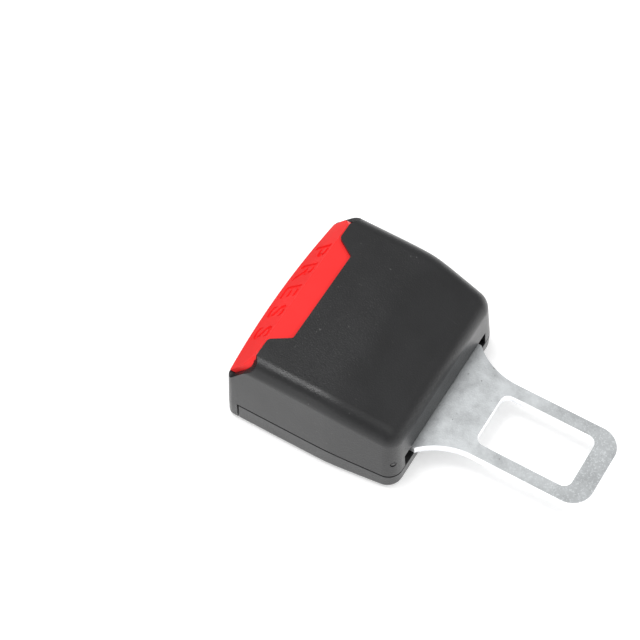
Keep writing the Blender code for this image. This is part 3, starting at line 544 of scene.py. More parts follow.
def housing_rings(inset, floor, settings):
    """Outlines of the housing from the bottom up, as rings of points of equal number."""
    soft = settings.shoulder_soft
    rings = []
    low_round = max(BOTTOM_FILLET - inset, LEAST_ROUND)
    for i in range(LOW_STEPS + 1):
        angle = math.pi / 2 * i / LOW_STEPS
        inward = inset + low_round * (1 - math.sin(angle))
        height = floor + low_round * (1 - math.cos(angle))
        outline = mirrored(plan_half(inward, inward, inward, inward, soft))
        rings.append([(x, y, height) for x, y in outline])
    top_round = TOP_FILLET - inset
    begin = max(SIDE_LEAN, REAR_LEAN)
    rise = BODY_HEIGHT - SEAM_FRONT - TOP_FILLET
    outline = mirrored(plan_half(inset, inset, inset, inset, soft))
    rings.append([(x, y, seam_z(x, soft) + GAP / 2) for x, y in outline])
    for i in range(FILLET_STEPS + 1):
        angle = begin + (math.pi / 2 - begin) * i / FILLET_STEPS
        drop = top_round * (1 - math.sin(angle)) + inset
        curl = top_round * (math.cos(begin) - math.cos(angle))
        side = inset + rise * math.tan(SIDE_LEAN) + curl
        rear = inset + rise * math.tan(REAR_LEAN) + curl
        outline = mirrored(plan_half(side, inset, rear, inset + curl, soft))
        rings.append([(x, y, top_z(x, settings.crease_soft) - drop) for x, y in outline])
    return rings


def skin_between(shape, rings):
    """Faces between rings of points of equal number, and the rings' vertices."""
    levels = [[shape.verts.new(point) for point in ring] for ring in rings]
    for low, high in zip(levels, levels[1:]):
        for i in range(len(low)):
            j = (i + 1) % len(low)
            shape.faces.new((low[i], low[j], high[j], high[i]))
    return levels


def loft(name, rings):
    """Skin between rings of points, with a flat bottom and a top made of strips across the width."""
    shape = bmesh.new()
    levels = skin_between(shape, rings)
    count = len(levels[0])
    shape.faces.new(list(reversed(levels[0])))
    top = levels[-1]
    far = count // 2
    shape.faces.new((top[0], top[1], top[-1]))
    for i in range(1, far - 2):
        shape.faces.new((top[i], top[i + 1], top[count - i - 1], top[count - i]))
    shape.faces.new(top[far - 2:far + 3])
    bmesh.ops.triangulate(shape, faces=shape.faces)
    return add_object(name, mesh_from(name, shape))


def seam_outline(grow, soft):
    """Side outline of the space that the lower cover fills, larger by a clearance."""
    deep = -BEYOND
    beyond = X_REAR + BEYOND
    start = X_COVER - grow
    line = [start + (beyond - start) * i / SEAM_STEPS for i in range(SEAM_STEPS + 1)]
    return [(start, deep)] + [(x, seam_z(x, soft) + grow) for x in line] + [(beyond, deep)]


def across_width(name, sections):
    """A solid across the width between side outlines, each a ring of points."""
    shape = bmesh.new()
    levels = skin_between(shape, sections)
    shape.faces.new(levels[0])
    shape.faces.new(list(reversed(levels[-1])))
    bmesh.ops.triangulate(shape, faces=shape.faces)
    return add_object(name, mesh_from(name, shape))


def rim_section(y, settings):
    """Side outline of what the opening takes away; near the sides its upper end curves back."""
    ahead = X_FRONT - BEYOND
    above = BODY_HEIGHT + BEYOND
    low = BUTTON_LOW - GAP
    past = max(abs(y) - RIM_STRAIGHT, 0.0)
    rim = X_FRONT + RIM_TOP + past * past / (past + settings.rim_turn)
    side = rounded([(ahead, low), (X_FRONT + RIM_START, low), (X_FRONT + RIM_KNEE[0], RIM_KNEE[1]),
                    (rim, BODY_HEIGHT), (rim, above), (ahead, above)],
                   [0.0, RIM_START_ROUND, settings.rim_round, 0.0, 0.0, 0.0])
    return [(x, y, z) for x, z in side]


def cut_rim(shell, settings):
    """The slanted opening for the button, and the notch in the top."""
    ahead = X_FRONT - BEYOND
    above = BODY_HEIGHT + BEYOND
    rim = X_FRONT + RIM_TOP
    outer = BODY_HALF + GAP
    right = [RIM_STRAIGHT + (outer - RIM_STRAIGHT) * i / RIM_STEPS for i in range(RIM_STEPS + 1)]
    places = [-y for y in reversed(right)] + [0.0] + right
    boolean(shell, across_width("rim_cut", [rim_section(y, settings) for y in places]))
    turn = settings.rim_round
    reach = 0.8 * turn
    half = [(ahead, NOTCH_MOUTH + reach), (rim, NOTCH_MOUTH + reach), (rim, NOTCH_MOUTH),
            (X_FRONT + NOTCH_BACK, NOTCH_END)]
    outline = half + [(x, -y) for x, y in reversed(half)]
    radii = [0.0, 0.0, turn, 0.6 * turn, 0.6 * turn, turn, 0.0, 0.0]
    notch = rounded(outline, radii)
    boolean(shell, plan_profile("notch_cut", notch, RIM_KNEE[1], above))


def add_shell_ribs(shell, settings):
    """Ribs that hold the plate's root down, and the walls that the button's springs push on."""
    soft = settings.crease_soft
    x = X_REAR - SPRING_RIB_PLACE
    ahead = X_CREASE - RIB_AHEAD
    back = X_REAR - HOLD_DOWN_END
    low = FRAME_TOP + GAP
    rib = [(ahead, low), (back, low)] + [(at, top_z(at, soft) - WALL / 2) for at in (back, X_CREASE, ahead)]
    high = top_z(x + RIB, soft) - TOP_FILLET
    for side in (1, -1):
        middle = side * HOLD_DOWN_SIDE
        boolean(shell, side_profile("hold_down_rib", rib, middle - RIB / 2, middle + RIB / 2), "UNION")
        near, far = sorted((side * (ARM_INNER + GAP), side * (inner_side(x, ARM_AXIS) + WALL / 2)))
        boolean(shell, box("spring_wall", (x, near, ARM_LOW), (x + RIB, far, high)), "UNION")


def add_pips(shell):
    """A small round pip in a ring on each rear corner."""
    turn = math.sqrt(0.5)
    lean = (PIP_HEIGHT - SEAM_REAR) * math.tan(SIDE_LEAN)
    reach = turn * (REAR_CORNER - lean)
    for side in (1, -1):
        outward = Vector((turn, side * turn, 0.0))
        face = Vector((X_REAR - REAR_CORNER + reach, side * (REAR_HALF - REAR_CORNER + reach), PIP_HEIGHT))
        ring_floor = face - outward * PIP_RING
        boolean(shell, rod("pip_ring", PIP_RADIUS + PIP_RING, ring_floor, face + outward * WALL, PIP_SIDES))
        root = face - outward * (WALL / 2)
        pip = rod("corner_pip", PIP_RADIUS, root, face + outward * (PIP_RING / 2), PIP_SIDES)
        round_edges(pip, PIP_RING / 2, PIP_ANGLE)
        boolean(shell, pip, "UNION")


def inner_side(x, height):
    """Half-width of the shell's inner wall at a place."""
    lean = max(0.0, height - seam_z(x, 0.0)) * math.tan(SIDE_LEAN)
    return BODY_HALF - SIDE_TAPER * max(0.0, x - X_SHOULDER) - lean - WALL


def cut_shell_openings(shell):
    """Runway of the button, mouth for the belt's tongue, rear slot and the pockets for the hooks."""
    ahead = X_FRONT - BEYOND
    rim = X_FRONT + RIM_TOP
    room = BUTTON_HALF + GAP
    floor = BUTTON_LOW - GAP + HAIR
    boolean(shell, box("end_room_cut", (ahead, -room, floor), (rim, room, RIM_KNEE[1])))
    end = X_FRONT + NOTCH_BACK + BUTTON_TAIL + BUTTON_TRAVEL + SLACK
    boolean(shell, box("runway_cut", (ahead, -RUNWAY_HALF, BUTTON_LOW), (end, RUNWAY_HALF, RUNWAY_TOP)))
    high = BUTTON_LOW + GAP
    mouth = [(-MOUTH_HALF, MOUTH_LOW), (MOUTH_HALF, MOUTH_LOW), (MOUTH_HALF, high), (-MOUTH_HALF, high)]
    round_mouth = rounded(mouth, [MOUTH_ROUND, MOUTH_ROUND, 0.0, 0.0])
    turn = Matrix(((0, 0, 1, (ahead + X_COVER) / 2), (1, 0, 0, 0), (0, 1, 0, 0), (0, 0, 0, 1)))
    boolean(shell, outline_solid("mouth_cut", round_mouth, X_COVER - ahead, turn))
    boolean(shell, box("slot_cut", (X_REAR - REAR_CORNER, -SLOT_HALF, 0.0),
                       (X_REAR + BEYOND, SLOT_HALF, PLATE_TOP + SEAM_GAP)))
    for place in HOOK_PLACES:
        x = X_REAR - place
        inner = inner_side(x, HOOK_TOP)
        low = HOOK_TOP - HOOK_NOSE
        for side in (1, -1):
            near, far = sorted((side * (inner - SLACK), side * (inner + HOOK_BARB + GAP)))
            boolean(shell, box("hook_pocket", (x - HOOK_HALF - GAP, near, low - GAP),
                               (x + HOOK_HALF + GAP, far, HOOK_TOP + GAP)))


def make_shell(settings):
    """The upper shell: outer form with a rounded joint edge, the opening, then the hollow inside."""
    wide = BODY_HALF + BEYOND
    shell = loft("upper_shell_fine", housing_rings(0.0, 0.0, settings))
    boolean(shell, side_profile("cover_space", seam_outline(SEAM_GAP, settings.shoulder_soft), -wide, wide))
    round_edges(shell, settings.edge, SEAM_ANGLE)
    cut_rim(shell, settings)
    boolean(shell, loft("shell_hollow", housing_rings(WALL, FLOOR, settings)))
    add_shell_ribs(shell, settings)
    add_pips(shell)
    cut_shell_openings(shell)
    shade(shell, SHELL_SHARP)
    return shell


def add_cover_inside(cover):
    """A rib under each edge of the plate's root, a peg through it on each side, and springy hooks."""
    seat_top = PLATE_LOW - GAP
    for side in (-1, 1):
        y = side * (ROOT_HALF - RIB)
        rib = box("rib", (X_ROOT, y - RIB / 2, FLOOR / 2), (X_REAR - RIB, y + RIB / 2, seat_top))
        boolean(cover, rib, "UNION")
        x = X_REAR - PEG_PLACE
        y = side * PEG_SIDE
        boolean(cover, rod("peg", PEG_RADIUS, (x, y, FLOOR / 2), (x, y, PLATE_TOP - GAP)), "UNION")
    for place in HOOK_PLACES:
        x = X_REAR - place
        outer = inner_side(x, HOOK_TOP) - GAP
        low = HOOK_TOP - HOOK_NOSE + GAP
        hook = [(outer - HOOK_THICK, FLOOR / 2), (outer, FLOOR / 2), (outer, low),
                (outer + HOOK_BARB, low), (outer, HOOK_TOP), (outer - HOOK_THICK, HOOK_TOP)]
        for side in (1, -1):
            turn = Matrix(((0, 0, 1, x), (side, 0, 0, 0), (0, 1, 0, 0), (0, 0, 0, 1)))
            boolean(cover, outline_solid("hook", hook, 2 * HOOK_HALF, turn), "UNION")


def make_cover(settings):
    """The lower cover, with its joint edge rounded."""
    wide = BODY_HALF + BEYOND
    cover = loft("lower_cover_fine", housing_rings(0.0, 0.0, settings))
    limit = side_profile("cover_limit", seam_outline(0.0, settings.shoulder_soft), -wide, wide)
    boolean(cover, limit, "INTERSECT")
    round_edges(cover, settings.edge, SEAM_ANGLE)
    boolean(cover, loft("cover_hollow", housing_rings(WALL, FLOOR, settings)))
    add_cover_inside(cover)
    shade(cover)
    return cover


def end_height(y, half, rounding, top):
    """Height of a rounded end above its spring line, as seen from the front."""
    out = abs(y) - (half - rounding)
    if out <= 0:
        return top
    return top - rounding + math.sqrt(max(rounding ** 2 - out ** 2, 0.0))


def button_back(y):
    """Rear edge of the button's top: a tongue under the notch, and a shelf under the rim."""
    wide = NOTCH_MOUTH + BUTTON_COVERED
    if y <= wide:
        return X_FRONT + NOTCH_BACK + BUTTON_TAIL
    return X_FRONT + BUTTON_RIDGE + BUTTON_SHELF


def button_stations(half, flat):
    """Places across the button's width where its side outline is set."""
    wide = NOTCH_MOUTH + BUTTON_COVERED
    steps = range(NOSE_STEPS + 1)
    middle = [wide * i / NOSE_STEPS for i in steps]
    curved = [flat + (half - flat) * math.sin(math.pi / 2 * i / NOSE_STEPS) for i in steps]
    right = middle + [wide + HAIR] + curved
    return [-y for y in reversed(right[1:])] + right


def button_section(y, inset):
    """Side outline of the button's nose at one place along its width."""
    top = end_height(y, BUTTON_HALF - inset, BUTTON_ROUND - inset, BUTTON_TOP - inset)
    low = BUTTON_LOW if inset == 0 else ARM_LOW
    height = BUTTON_TOP - BUTTON_LOW
    slope = (X_FRONT + BUTTON_RIDGE - front_x(y)) / height
    foot = front_x(y) + inset * math.hypot(1.0, slope)
    back = button_back(abs(y)) if inset == 0 else X_CREASE
    return [(foot - slope * (BUTTON_LOW - low), y, low), (foot + slope * (top - BUTTON_LOW), y, top),
            (back, y, top), (back, y, low)]


def button_nose(name, inset):
    """The button's nose, whose side outline grows lower towards the rounded ends."""
    half = BUTTON_HALF - inset
    stations = button_stations(half, half - (BUTTON_ROUND - inset))
    return across_width(name, [button_section(y, inset) for y in stations])


def letter_cutter(settings):
    """The word as a solid that follows the button's curved front, letter by letter."""
    slope = Vector((BUTTON_RIDGE, 0.0, BUTTON_TOP - BUTTON_LOW)).normalized()
    across = Vector((0.0, -1.0, 0.0))
    outward = across.cross(slope)
    middle = Vector((X_FRONT + BUTTON_RIDGE / 2, 0.0, (BUTTON_TOP + BUTTON_LOW) / 2))
    shape = bmesh.new()
    count = len(settings.word)
    for place, letter in enumerate(settings.word):
        text = bpy.data.curves.new("letter", "FONT")
        text.body = letter
        text.size = settings.letter_size
        text.align_x = "CENTER"
        text.align_y = "CENTER"
        text.extrude = 2 * settings.letter_depth
        text.resolution_u = 8
        text.offset = settings.letter_bold
        along = (place - (count - 1) / 2) * settings.letter_step
        centre = middle + across * along
        centre.x += front_x(along) - X_FRONT
        centre += outward * settings.letter_depth
        turn = Matrix((across, slope, outward)).transposed().to_4x4()
        solid = curve_object("letter", text, Matrix.Translation(centre) @ turn)
        shape.from_mesh(solid.data)
        bpy.data.objects.remove(solid, do_unlink=True)
    return add_object("word_cut", mesh_from("word_cut", shape))


def make_button(settings):
    """The press button: sloped front with its word, top, arms, ears and spigots."""
    button = button_nose("press_button_fine", 0.0)
    round_edges(button, settings.edge, BUTTON_ANGLE, 4)
    boolean(button, button_nose("nose_hollow", BUTTON_WALL))
    boolean(button, letter_cutter(settings))
    arm_front = X_FRONT + ARM_FRONT
    arm_end = X_FRONT + ARM_BACK
    for side in (1, -1):
        near, far = sorted((side * ARM_INNER, side * ARM_OUTER))
        boolean(button, box("arm", (arm_front, near, ARM_LOW), (arm_end, far, ARM_HIGH)), "UNION")
        near, far = sorted((side * EAR_INNER, side * (EAR_INNER + EAR_WIDTH)))
        ear = box("bar_ear", (arm_end - EAR_LENGTH, near, ARM_LOW + GAP), (arm_end - GAP, far, EAR_HIGH))
        boolean(button, ear, "UNION")
        spigot = rod("spigot", SPIGOT_RADIUS, (arm_end - GAP, side * ARM_MIDDLE, ARM_AXIS),
                     (arm_end + SPIGOT_LENGTH, side * ARM_MIDDLE, ARM_AXIS), 24)
        boolean(button, spigot, "UNION")
    low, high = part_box("release_bar")
    middle = (low + high) / 2
    hole = rod("bar_hole", (high.z - low.z) / 2 + GAP, (middle.x, low.y - GAP, middle.z),
               (middle.x, high.y + GAP, middle.z))
    boolean(button, hole)
    shade(button)
    return button


def rounded_box(centre_x, half_x, half_y, radius, steps=8):
    """Outline of a rectangle with round corners, centred on y = 0."""
    points = []
    for sx, sy, start in ((1, 1, 0), (-1, 1, 90), (-1, -1, 180), (1, -1, 270)):
        corner = (centre_x + sx * (half_x - radius), sy * (half_y - radius))
        points += arc(corner, radius, start, start + 90, steps)
    return points


def round_hole(place, y, radius):
    """Outline of a hole in the plate's root, ahead of the rear face, for what goes through it."""
    last = 360 - 360 / HOLE_STEPS
    return arc((X_REAR - place, y), radius + GAP, 0, last, HOLE_STEPS - 1)


def make_tongue(settings):
    """The tongue plate, with a fine rounding on its sheared edges."""
    flare = X_REAR + FLARE_END
    centre_y = BLADE_HALF + FLARE_RADIUS
    open_angle = math.degrees(math.acos((centre_y - ROOT_HALF) / FLARE_RADIUS))
    half = [(X_ROOT, 0.0), (X_ROOT, ROOT_HALF)]
    half += arc((flare, centre_y), FLARE_RADIUS, 270 - open_angle, 270, 28)
    half += arc((X_TIP - TIP_RADIUS, BLADE_HALF - TIP_RADIUS), TIP_RADIUS, 90, 0, 18)
    holes = [rounded_box(X_REAR + (WINDOW_START + WINDOW_END) / 2, (WINDOW_END - WINDOW_START) / 2,
                         WINDOW_HALF, WINDOW_RADIUS)]
    for side in (1, -1):
        holes += [round_hole(place, side * RIVET_SIDE, RIVET_RADIUS) for place in RIVET_PLACES]
        holes.append(round_hole(PEG_PLACE, side * PEG_SIDE, PEG_RADIUS))
    plate = plan_profile("tongue_plate_fine", mirrored(half), PLATE_LOW, PLATE_TOP, holes)
    round_edges(plate, settings.edge, PLATE_ANGLE, 2)
    shade(plate, PLATE_SHARP)
    heights = [[plate.data.vertices[i].co.z for i in face.vertices] for face in plate.data.polygons]
    sheared = [float(min(z) < PLATE_TOP - HAIR and max(z) > PLATE_LOW + HAIR) for z in heights]
    plate.data.attributes.new("sheared", "FLOAT", "FACE").data.foreach_set("value", sheared)
    return plate


def add_node(tree, kind, settings=None, **inputs):
    """Add a node, set its options and its inputs, and link those inputs that are sockets."""
    item = tree.nodes.new(kind)
    for name, value in (settings or {}).items():
        setattr(item, name, value)
    for name, value in inputs.items():
        connect(tree, item.inputs[name.replace("_", " ")], value)
    return item


def connect(tree, socket, value):
    """Link a socket to another one, or set its value."""
    if isinstance(value, bpy.types.NodeSocket):
        tree.links.new(value, socket)
    else:
        socket.default_value = value


def calc(tree, operation, first, second=0.0, clamp=False):
    """A math node's result."""
    item = tree.nodes.new("ShaderNodeMath")
    item.operation = operation
    item.use_clamp = clamp
    connect(tree, item.inputs[0], first)
    connect(tree, item.inputs[1], second)
    return item.outputs[0]


def blend(tree, factor, first, second):
    """A mix of two colours."""
    item = add_node(tree, "ShaderNodeMix", {"data_type": "RGBA"})
    connect(tree, item.inputs[0], factor)
    connect(tree, item.inputs[6], first)
    connect(tree, item.inputs[7], second)
    return item.outputs[2]


def noise(tree, place, scale, detail, roughness):
    """A noise value that reads a place."""
    values = {"Vector": place, "Scale": scale, "Detail": detail, "Roughness": roughness}
    return add_node(tree, "ShaderNodeTexNoise", **values).outputs["Fac"]


def ramp(tree, value, low, high, start=0.0, end=1.0):
    """A value taken from one range to another, and held inside it."""
    item = add_node(tree, "ShaderNodeMapRange", {"clamp": True}, Value=value)
    for name, number in (("From Min", low), ("From Max", high), ("To Min", start), ("To Max", end)):
        item.inputs[name].default_value = number
    return item.outputs[0]


def new_group(name, inputs, outputs):
    """A shader node group with named number inputs and outputs."""
    tree = bpy.data.node_groups.new(name, "ShaderNodeTree")
    tree.interface.new_socket("Place", in_out="INPUT", socket_type="NodeSocketVector")
    for label, value in inputs:
        socket = tree.interface.new_socket(label, in_out="INPUT", socket_type="NodeSocketFloat")
        socket.default_value = value
    for label in outputs:
        tree.interface.new_socket(label, in_out="OUTPUT", socket_type="NodeSocketFloat")
    return tree, tree.nodes.new("NodeGroupInput").outputs, tree.nodes.new("NodeGroupOutput").inputs


def grain_group():
    """Fine moulded grain: a height, and a slow unevenness for colour and roughness."""
    tree, given, out = new_group("moulded_grain", [("Grain scale", 2600.0), ("Cloud scale", 90.0)],
                                 ["Height", "Cloud"])
    connect(tree, out["Height"], noise(tree, given["Place"], given["Grain scale"], 3.0, 0.6))
    connect(tree, out["Cloud"], noise(tree, given["Place"], given["Cloud scale"], 4.0, 0.55))
    return tree


def specks_group():
    """Sparse specks and short scuffs, as one mask."""
    tree, given, out = new_group("specks", [
        ("Speck scale", 900.0), ("Patch scale", 60.0), ("Scuff scale", 150.0), ("Amount", 0.5)], ["Mask"])
    dots = ramp(tree, noise(tree, given["Place"], given["Speck scale"], 1.0, 0.5), 0.74, 0.80)
    patches = ramp(tree, noise(tree, given["Place"], given["Patch scale"], 2.0, 0.5), 0.45, 0.62)
    stretched = add_node(tree, "ShaderNodeMapping", Vector=given["Place"])
    stretched.inputs["Rotation"].default_value = (0.3, 0.5, 0.6)
    stretched.inputs["Scale"].default_value = (1.0, 5.0, 3.0)
    streaks = noise(tree, stretched.outputs[0], given["Scuff scale"], 3.0, 0.6)
    scuffs = ramp(tree, streaks, 0.70, 0.80, 0.0, 0.16)
    spots = calc(tree, "MULTIPLY", dots, patches)
    both = calc(tree, "MAXIMUM", spots, scuffs)
    connect(tree, out["Mask"], calc(tree, "MULTIPLY", both, given["Amount"], True))
    return tree


def metal_group():
    """Mottled plating: soft patches, small bright crystals and a few dark specks."""
    tree, given, out = new_group("mottled_plating", [
        ("Patch scale", 260.0), ("Speckle scale", 3000.0), ("Dark speck scale", 1100.0)],
        ["Patches", "Speckle", "Dark specks"])
    connect(tree, out["Patches"], noise(tree, given["Place"], given["Patch scale"], 5.0, 0.65))
    cells = add_node(tree, "ShaderNodeTexVoronoi", Vector=given["Place"], Scale=given["Speckle scale"])
    split = add_node(tree, "ShaderNodeSeparateColor", Color=cells.outputs["Color"])
    connect(tree, out["Speckle"], split.outputs[0])
    dark = noise(tree, given["Place"], given["Dark speck scale"], 0.0, 0.5)
    connect(tree, out["Dark specks"], ramp(tree, dark, 0.80, 0.84))
    return tree


GROUPS = {}


def group(name):
    """One of the shared groups, made once."""
    makers = {"grain": grain_group, "specks": specks_group, "metal": metal_group}
    if name not in GROUPS:
        GROUPS[name] = makers[name]()
    return GROUPS[name]


def new_material(name):
    """A material with its shader and its object coordinates."""
    material = bpy.data.materials.new(name)
    material.use_nodes = True
    tree = material.node_tree
    shader = tree.nodes["Principled BSDF"]
    place = tree.nodes.new("ShaderNodeTexCoord").outputs["Object"]
    return material, tree, shader, place


def use_group(tree, name, place, **values):
    """Place a shared group in a material with its own values."""
    item = add_node(tree, "ShaderNodeGroup", {"node_tree": group(name)}, Place=place, **values)
    return item.outputs


def set_bump(tree, shader, height, depth):
    """Raise the surface by a height map, up to a depth."""
    bump = add_node(tree, "ShaderNodeBump", Height=height, Strength=1.0, Distance=depth)
    connect(tree, shader.inputs["Normal"], bump.outputs[0])


def shades(tree, colour, value, spread):
    """A colour that gets darker and lighter with a value, by a share of itself."""
    dark = (*[c * (1 - spread) for c in colour], 1.0)
    light = (*[min(c * (1 + spread), 1.0) for c in colour], 1.0)
    return blend(tree, value, dark, light)


def plastic_material(name, colour, rough, grain, dust, spread=0.12, gloss=0.5):
    """Moulded plastic with fine grain, uneven gloss and a little dust."""
    material, tree, shader, place = new_material(name)
    skin = use_group(tree, "grain", place)
    base = shades(tree, colour, ramp(tree, skin["Cloud"], 0.35, 0.65), spread)
    if dust > 0:
        specks = use_group(tree, "specks", place, Amount=dust)
        base = blend(tree, specks["Mask"], base, DUST)
    connect(tree, shader.inputs["Base Color"], base)
    uneven = ramp(tree, skin["Cloud"], 0.3, 0.7, rough - 0.04, rough + 0.05)
    connect(tree, shader.inputs["Roughness"], uneven)
    shader.inputs["Specular IOR Level"].default_value = gloss
    set_bump(tree, shader, skin["Height"], grain)
    return material


def steel_material(name, colour, rough, mottle, patch_scale=260.0, tip=False):
    """Plated steel with soft patches, bright crystals and a few dark specks.

    A tongue gets a painted darker reflection towards its tip, where its plating is also more mottled. Its
    sheared edges have a bright band, partly a painted highlight, over a dull band.
    """
    material, tree, shader, place = new_material(name)
    skin = use_group(tree, "metal", place, Patch_scale=patch_scale)
    base = shades(tree, colour, ramp(tree, skin["Patches"], 0.3, 0.7), 0.3 * mottle)
    crystals = ramp(tree, skin["Speckle"], 0.6, 1.0, 0.0, 0.7 * mottle)
    if tip:
        spot = add_node(tree, "ShaderNodeSeparateXYZ", Vector=place).outputs
        # Painted shade: the colour gets darker towards the tip, standing in for the darker reflection
        # there. The crystals also grow there, which is the plating's own mottle.
        near_tip = ramp(tree, spot["X"], X_REAR + FLARE_END, X_TIP)
        base = blend(tree, calc(tree, "MULTIPLY", near_tip, 0.5), base, (*[0.6 * c for c in colour], 1.0))
        crystals = calc(tree, "MULTIPLY", crystals, calc(tree, "ADD", near_tip, 0.5))
    base = blend(tree, crystals, base, (*[min(1.35 * c, 1.0) for c in colour], 1.0))
    base = blend(tree, calc(tree, "MULTIPLY", skin["Dark specks"], mottle), base, DARK_SPECK)
    if tip:
        # Painted highlight: the sheared faces get a near-white colour for the bright reflection they show,
        # partly burnished steel. Below that band they are duller: the rough fracture zone, with its grey
        # partly painted shade to match the grey under the edge.
        sheared = add_node(tree, "ShaderNodeAttribute", {"attribute_name": "sheared"}).outputs["Fac"]
        band_low = PLATE_TOP - BRIGHT_BAND_HEIGHT
        bright_band = ramp(tree, spot["Z"], band_low - 0.1 * MM, band_low + 0.1 * MM)
        base = blend(tree, sheared, base, blend(tree, bright_band, DULL_EDGE, BRIGHT_EDGE))
    connect(tree, shader.inputs["Base Color"], base)
    shader.inputs["Metallic"].default_value = 0.9
    uneven = ramp(tree, skin["Patches"], 0.3, 0.7, rough - 0.07, rough + 0.08)
    connect(tree, shader.inputs["Roughness"], uneven)
    set_bump(tree, shader, skin["Speckle"], 0.015 * MM)
    return material


def bare_steel(kind, colour):
    """The finish of one of the bare steels inside."""
    return steel_material(kind + "_fine", colour, *BARE_STEELS[kind])


def paint(node, material):
    """Give a carried-over node its detailed material."""
    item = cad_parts[node]
    item.data.materials.clear()
    item.data.materials.append(material)


def geometry_tree(name, inputs):
    """A geometry node tree with named inputs and one geometry output."""
    tree = bpy.data.node_groups.new(name, "GeometryNodeTree")
    for label, kind in inputs:
        tree.interface.new_socket(label, in_out="INPUT", socket_type=kind)
    tree.interface.new_socket("Geometry", in_out="OUTPUT", socket_type="NodeSocketGeometry")
    return tree, tree.nodes.new("NodeGroupInput").outputs, tree.nodes.new("NodeGroupOutput").inputs


def end_tree(tree, out, geometry, material):
    """Make the instances real, set the material and lead the result out."""
    real = add_node(tree, "GeometryNodeRealizeInstances", Geometry=geometry)
    painted = add_node(tree, "GeometryNodeSetMaterial", Geometry=real.outputs[0], Material=material)
    connect(tree, out["Geometry"], painted.outputs[0])


def spring_tree():
    """A compression spring along X: a wire swept along a coil whose end turns lie close."""
    number = "NodeSocketFloat"
    tree, given, out = geometry_tree("compression_spring", [
        ("Start", "NodeSocketVector"), ("Length", number), ("Coil radius", number), ("Wire radius", number),
        ("Turns", number), ("Closed turns", number), ("Points", "NodeSocketInt"),
        ("Material", "NodeSocketMaterial")])
    line = add_node(tree, "GeometryNodeCurvePrimitiveLine")
    steps = add_node(tree, "GeometryNodeResampleCurve", Curve=line.outputs[0], Count=given["Points"])
    share = add_node(tree, "GeometryNodeSplineParameter").outputs["Factor"]
    turn = calc(tree, "MULTIPLY", share, given["Turns"])
    pitch = calc(tree, "MULTIPLY", given["Wire radius"], CLOSED_PITCH)
    at_start = calc(tree, "MINIMUM", turn, given["Closed turns"])
    late = calc(tree, "SUBTRACT", turn, calc(tree, "SUBTRACT", given["Turns"], given["Closed turns"]))
    closed = calc(tree, "ADD", at_start, calc(tree, "MAXIMUM", late, 0.0))
    both_ends = calc(tree, "MULTIPLY", given["Closed turns"], 2.0)
    open_turns = calc(tree, "SUBTRACT", given["Turns"], both_ends)
    opened = calc(tree, "SUBTRACT", turn, closed)
    solid_length = calc(tree, "ADD", calc(tree, "MULTIPLY", both_ends, pitch),
                        calc(tree, "MULTIPLY", given["Wire radius"], 2.0))
    open_length = calc(tree, "SUBTRACT", given["Length"], solid_length)
    far = calc(tree, "MULTIPLY", calc(tree, "DIVIDE", opened, open_turns), open_length)
    near = calc(tree, "ADD", calc(tree, "MULTIPLY", closed, pitch), given["Wire radius"])
    x = calc(tree, "ADD", near, far)
    angle = calc(tree, "MULTIPLY", turn, 2 * math.pi)
    y = calc(tree, "MULTIPLY", calc(tree, "COSINE", angle), given["Coil radius"])
    z = calc(tree, "MULTIPLY", calc(tree, "SINE", angle), given["Coil radius"])
    place = add_node(tree, "ShaderNodeCombineXYZ", X=x, Y=y, Z=z)
    coil = add_node(tree, "GeometryNodeSetPosition", Geometry=steps.outputs[0], Position=place.outputs[0],
                    Offset=given["Start"])
    section = add_node(tree, "GeometryNodeCurvePrimitiveCircle", Resolution=12, Radius=given["Wire radius"])
    wire = add_node(tree, "GeometryNodeCurveToMesh", Curve=coil.outputs[0], Fill_Caps=True)
    connect(tree, wire.inputs["Profile Curve"], section.outputs[0])
    end_tree(tree, out, wire.outputs[0], given["Material"])
    return tree


def rivet_tree():
    """Four rivets on a grid: a shank with a domed head at both ends."""
    number = "NodeSocketFloat"
    tree, given, out = geometry_tree("rivets", [
        ("Middle", "NodeSocketVector"), ("Spread X", number), ("Spread Y", number), ("Height", number),
        ("Shank radius", number), ("Head radius", number), ("Head height", number),
        ("Material", "NodeSocketMaterial")])
    grid = add_node(tree, "GeometryNodeMeshGrid", Vertices_X=2, Vertices_Y=2,
                    Size_X=given["Spread X"], Size_Y=given["Spread Y"])
    spots = add_node(tree, "GeometryNodeSetPosition", Geometry=grid.outputs[0], Offset=given["Middle"])
    shank = add_node(tree, "GeometryNodeMeshCylinder", Vertices=32, Radius=given["Shank radius"],
                     Depth=given["Height"])
    joined = add_node(tree, "GeometryNodeJoinGeometry")
    connect(tree, joined.inputs[0], shank.outputs["Mesh"])
    for side in (1, -1):
        head = add_node(tree, "GeometryNodeMeshCylinder", Vertices=32, Fill_Segments=4,
                        Radius=given["Head radius"], Depth=given["Head height"])
        inner = calc(tree, "SUBTRACT", given["Height"], given["Head height"])
        lift = calc(tree, "MULTIPLY", inner, 0.5 * side)
        at = add_node(tree, "GeometryNodeInputPosition").outputs[0]
        parts = add_node(tree, "ShaderNodeSeparateXYZ", Vector=at).outputs
        outside = calc(tree, "GREATER_THAN", calc(tree, "MULTIPLY", parts["Z"], side), 0.0)
        across = calc(tree, "SQRT", calc(tree, "ADD", calc(tree, "POWER", parts["X"], 2.0),
                                         calc(tree, "POWER", parts["Y"], 2.0)))
        share = calc(tree, "POWER", calc(tree, "DIVIDE", across, given["Head radius"]), 2.0)
        sink = calc(tree, "MULTIPLY", calc(tree, "MULTIPLY", share, given["Head height"]), -0.5 * side)
        shift = calc(tree, "ADD", calc(tree, "MULTIPLY", sink, outside), lift)
        offset = add_node(tree, "ShaderNodeCombineXYZ", Z=shift).outputs[0]
        domed = add_node(tree, "GeometryNodeSetPosition", Geometry=head.outputs["Mesh"], Offset=offset)
        connect(tree, joined.inputs[0], domed.outputs[0])
    placed = add_node(tree, "GeometryNodeInstanceOnPoints", Points=spots.outputs[0],
                      Instance=joined.outputs[0])
    end_tree(tree, out, placed.outputs[0], given["Material"])
    return tree


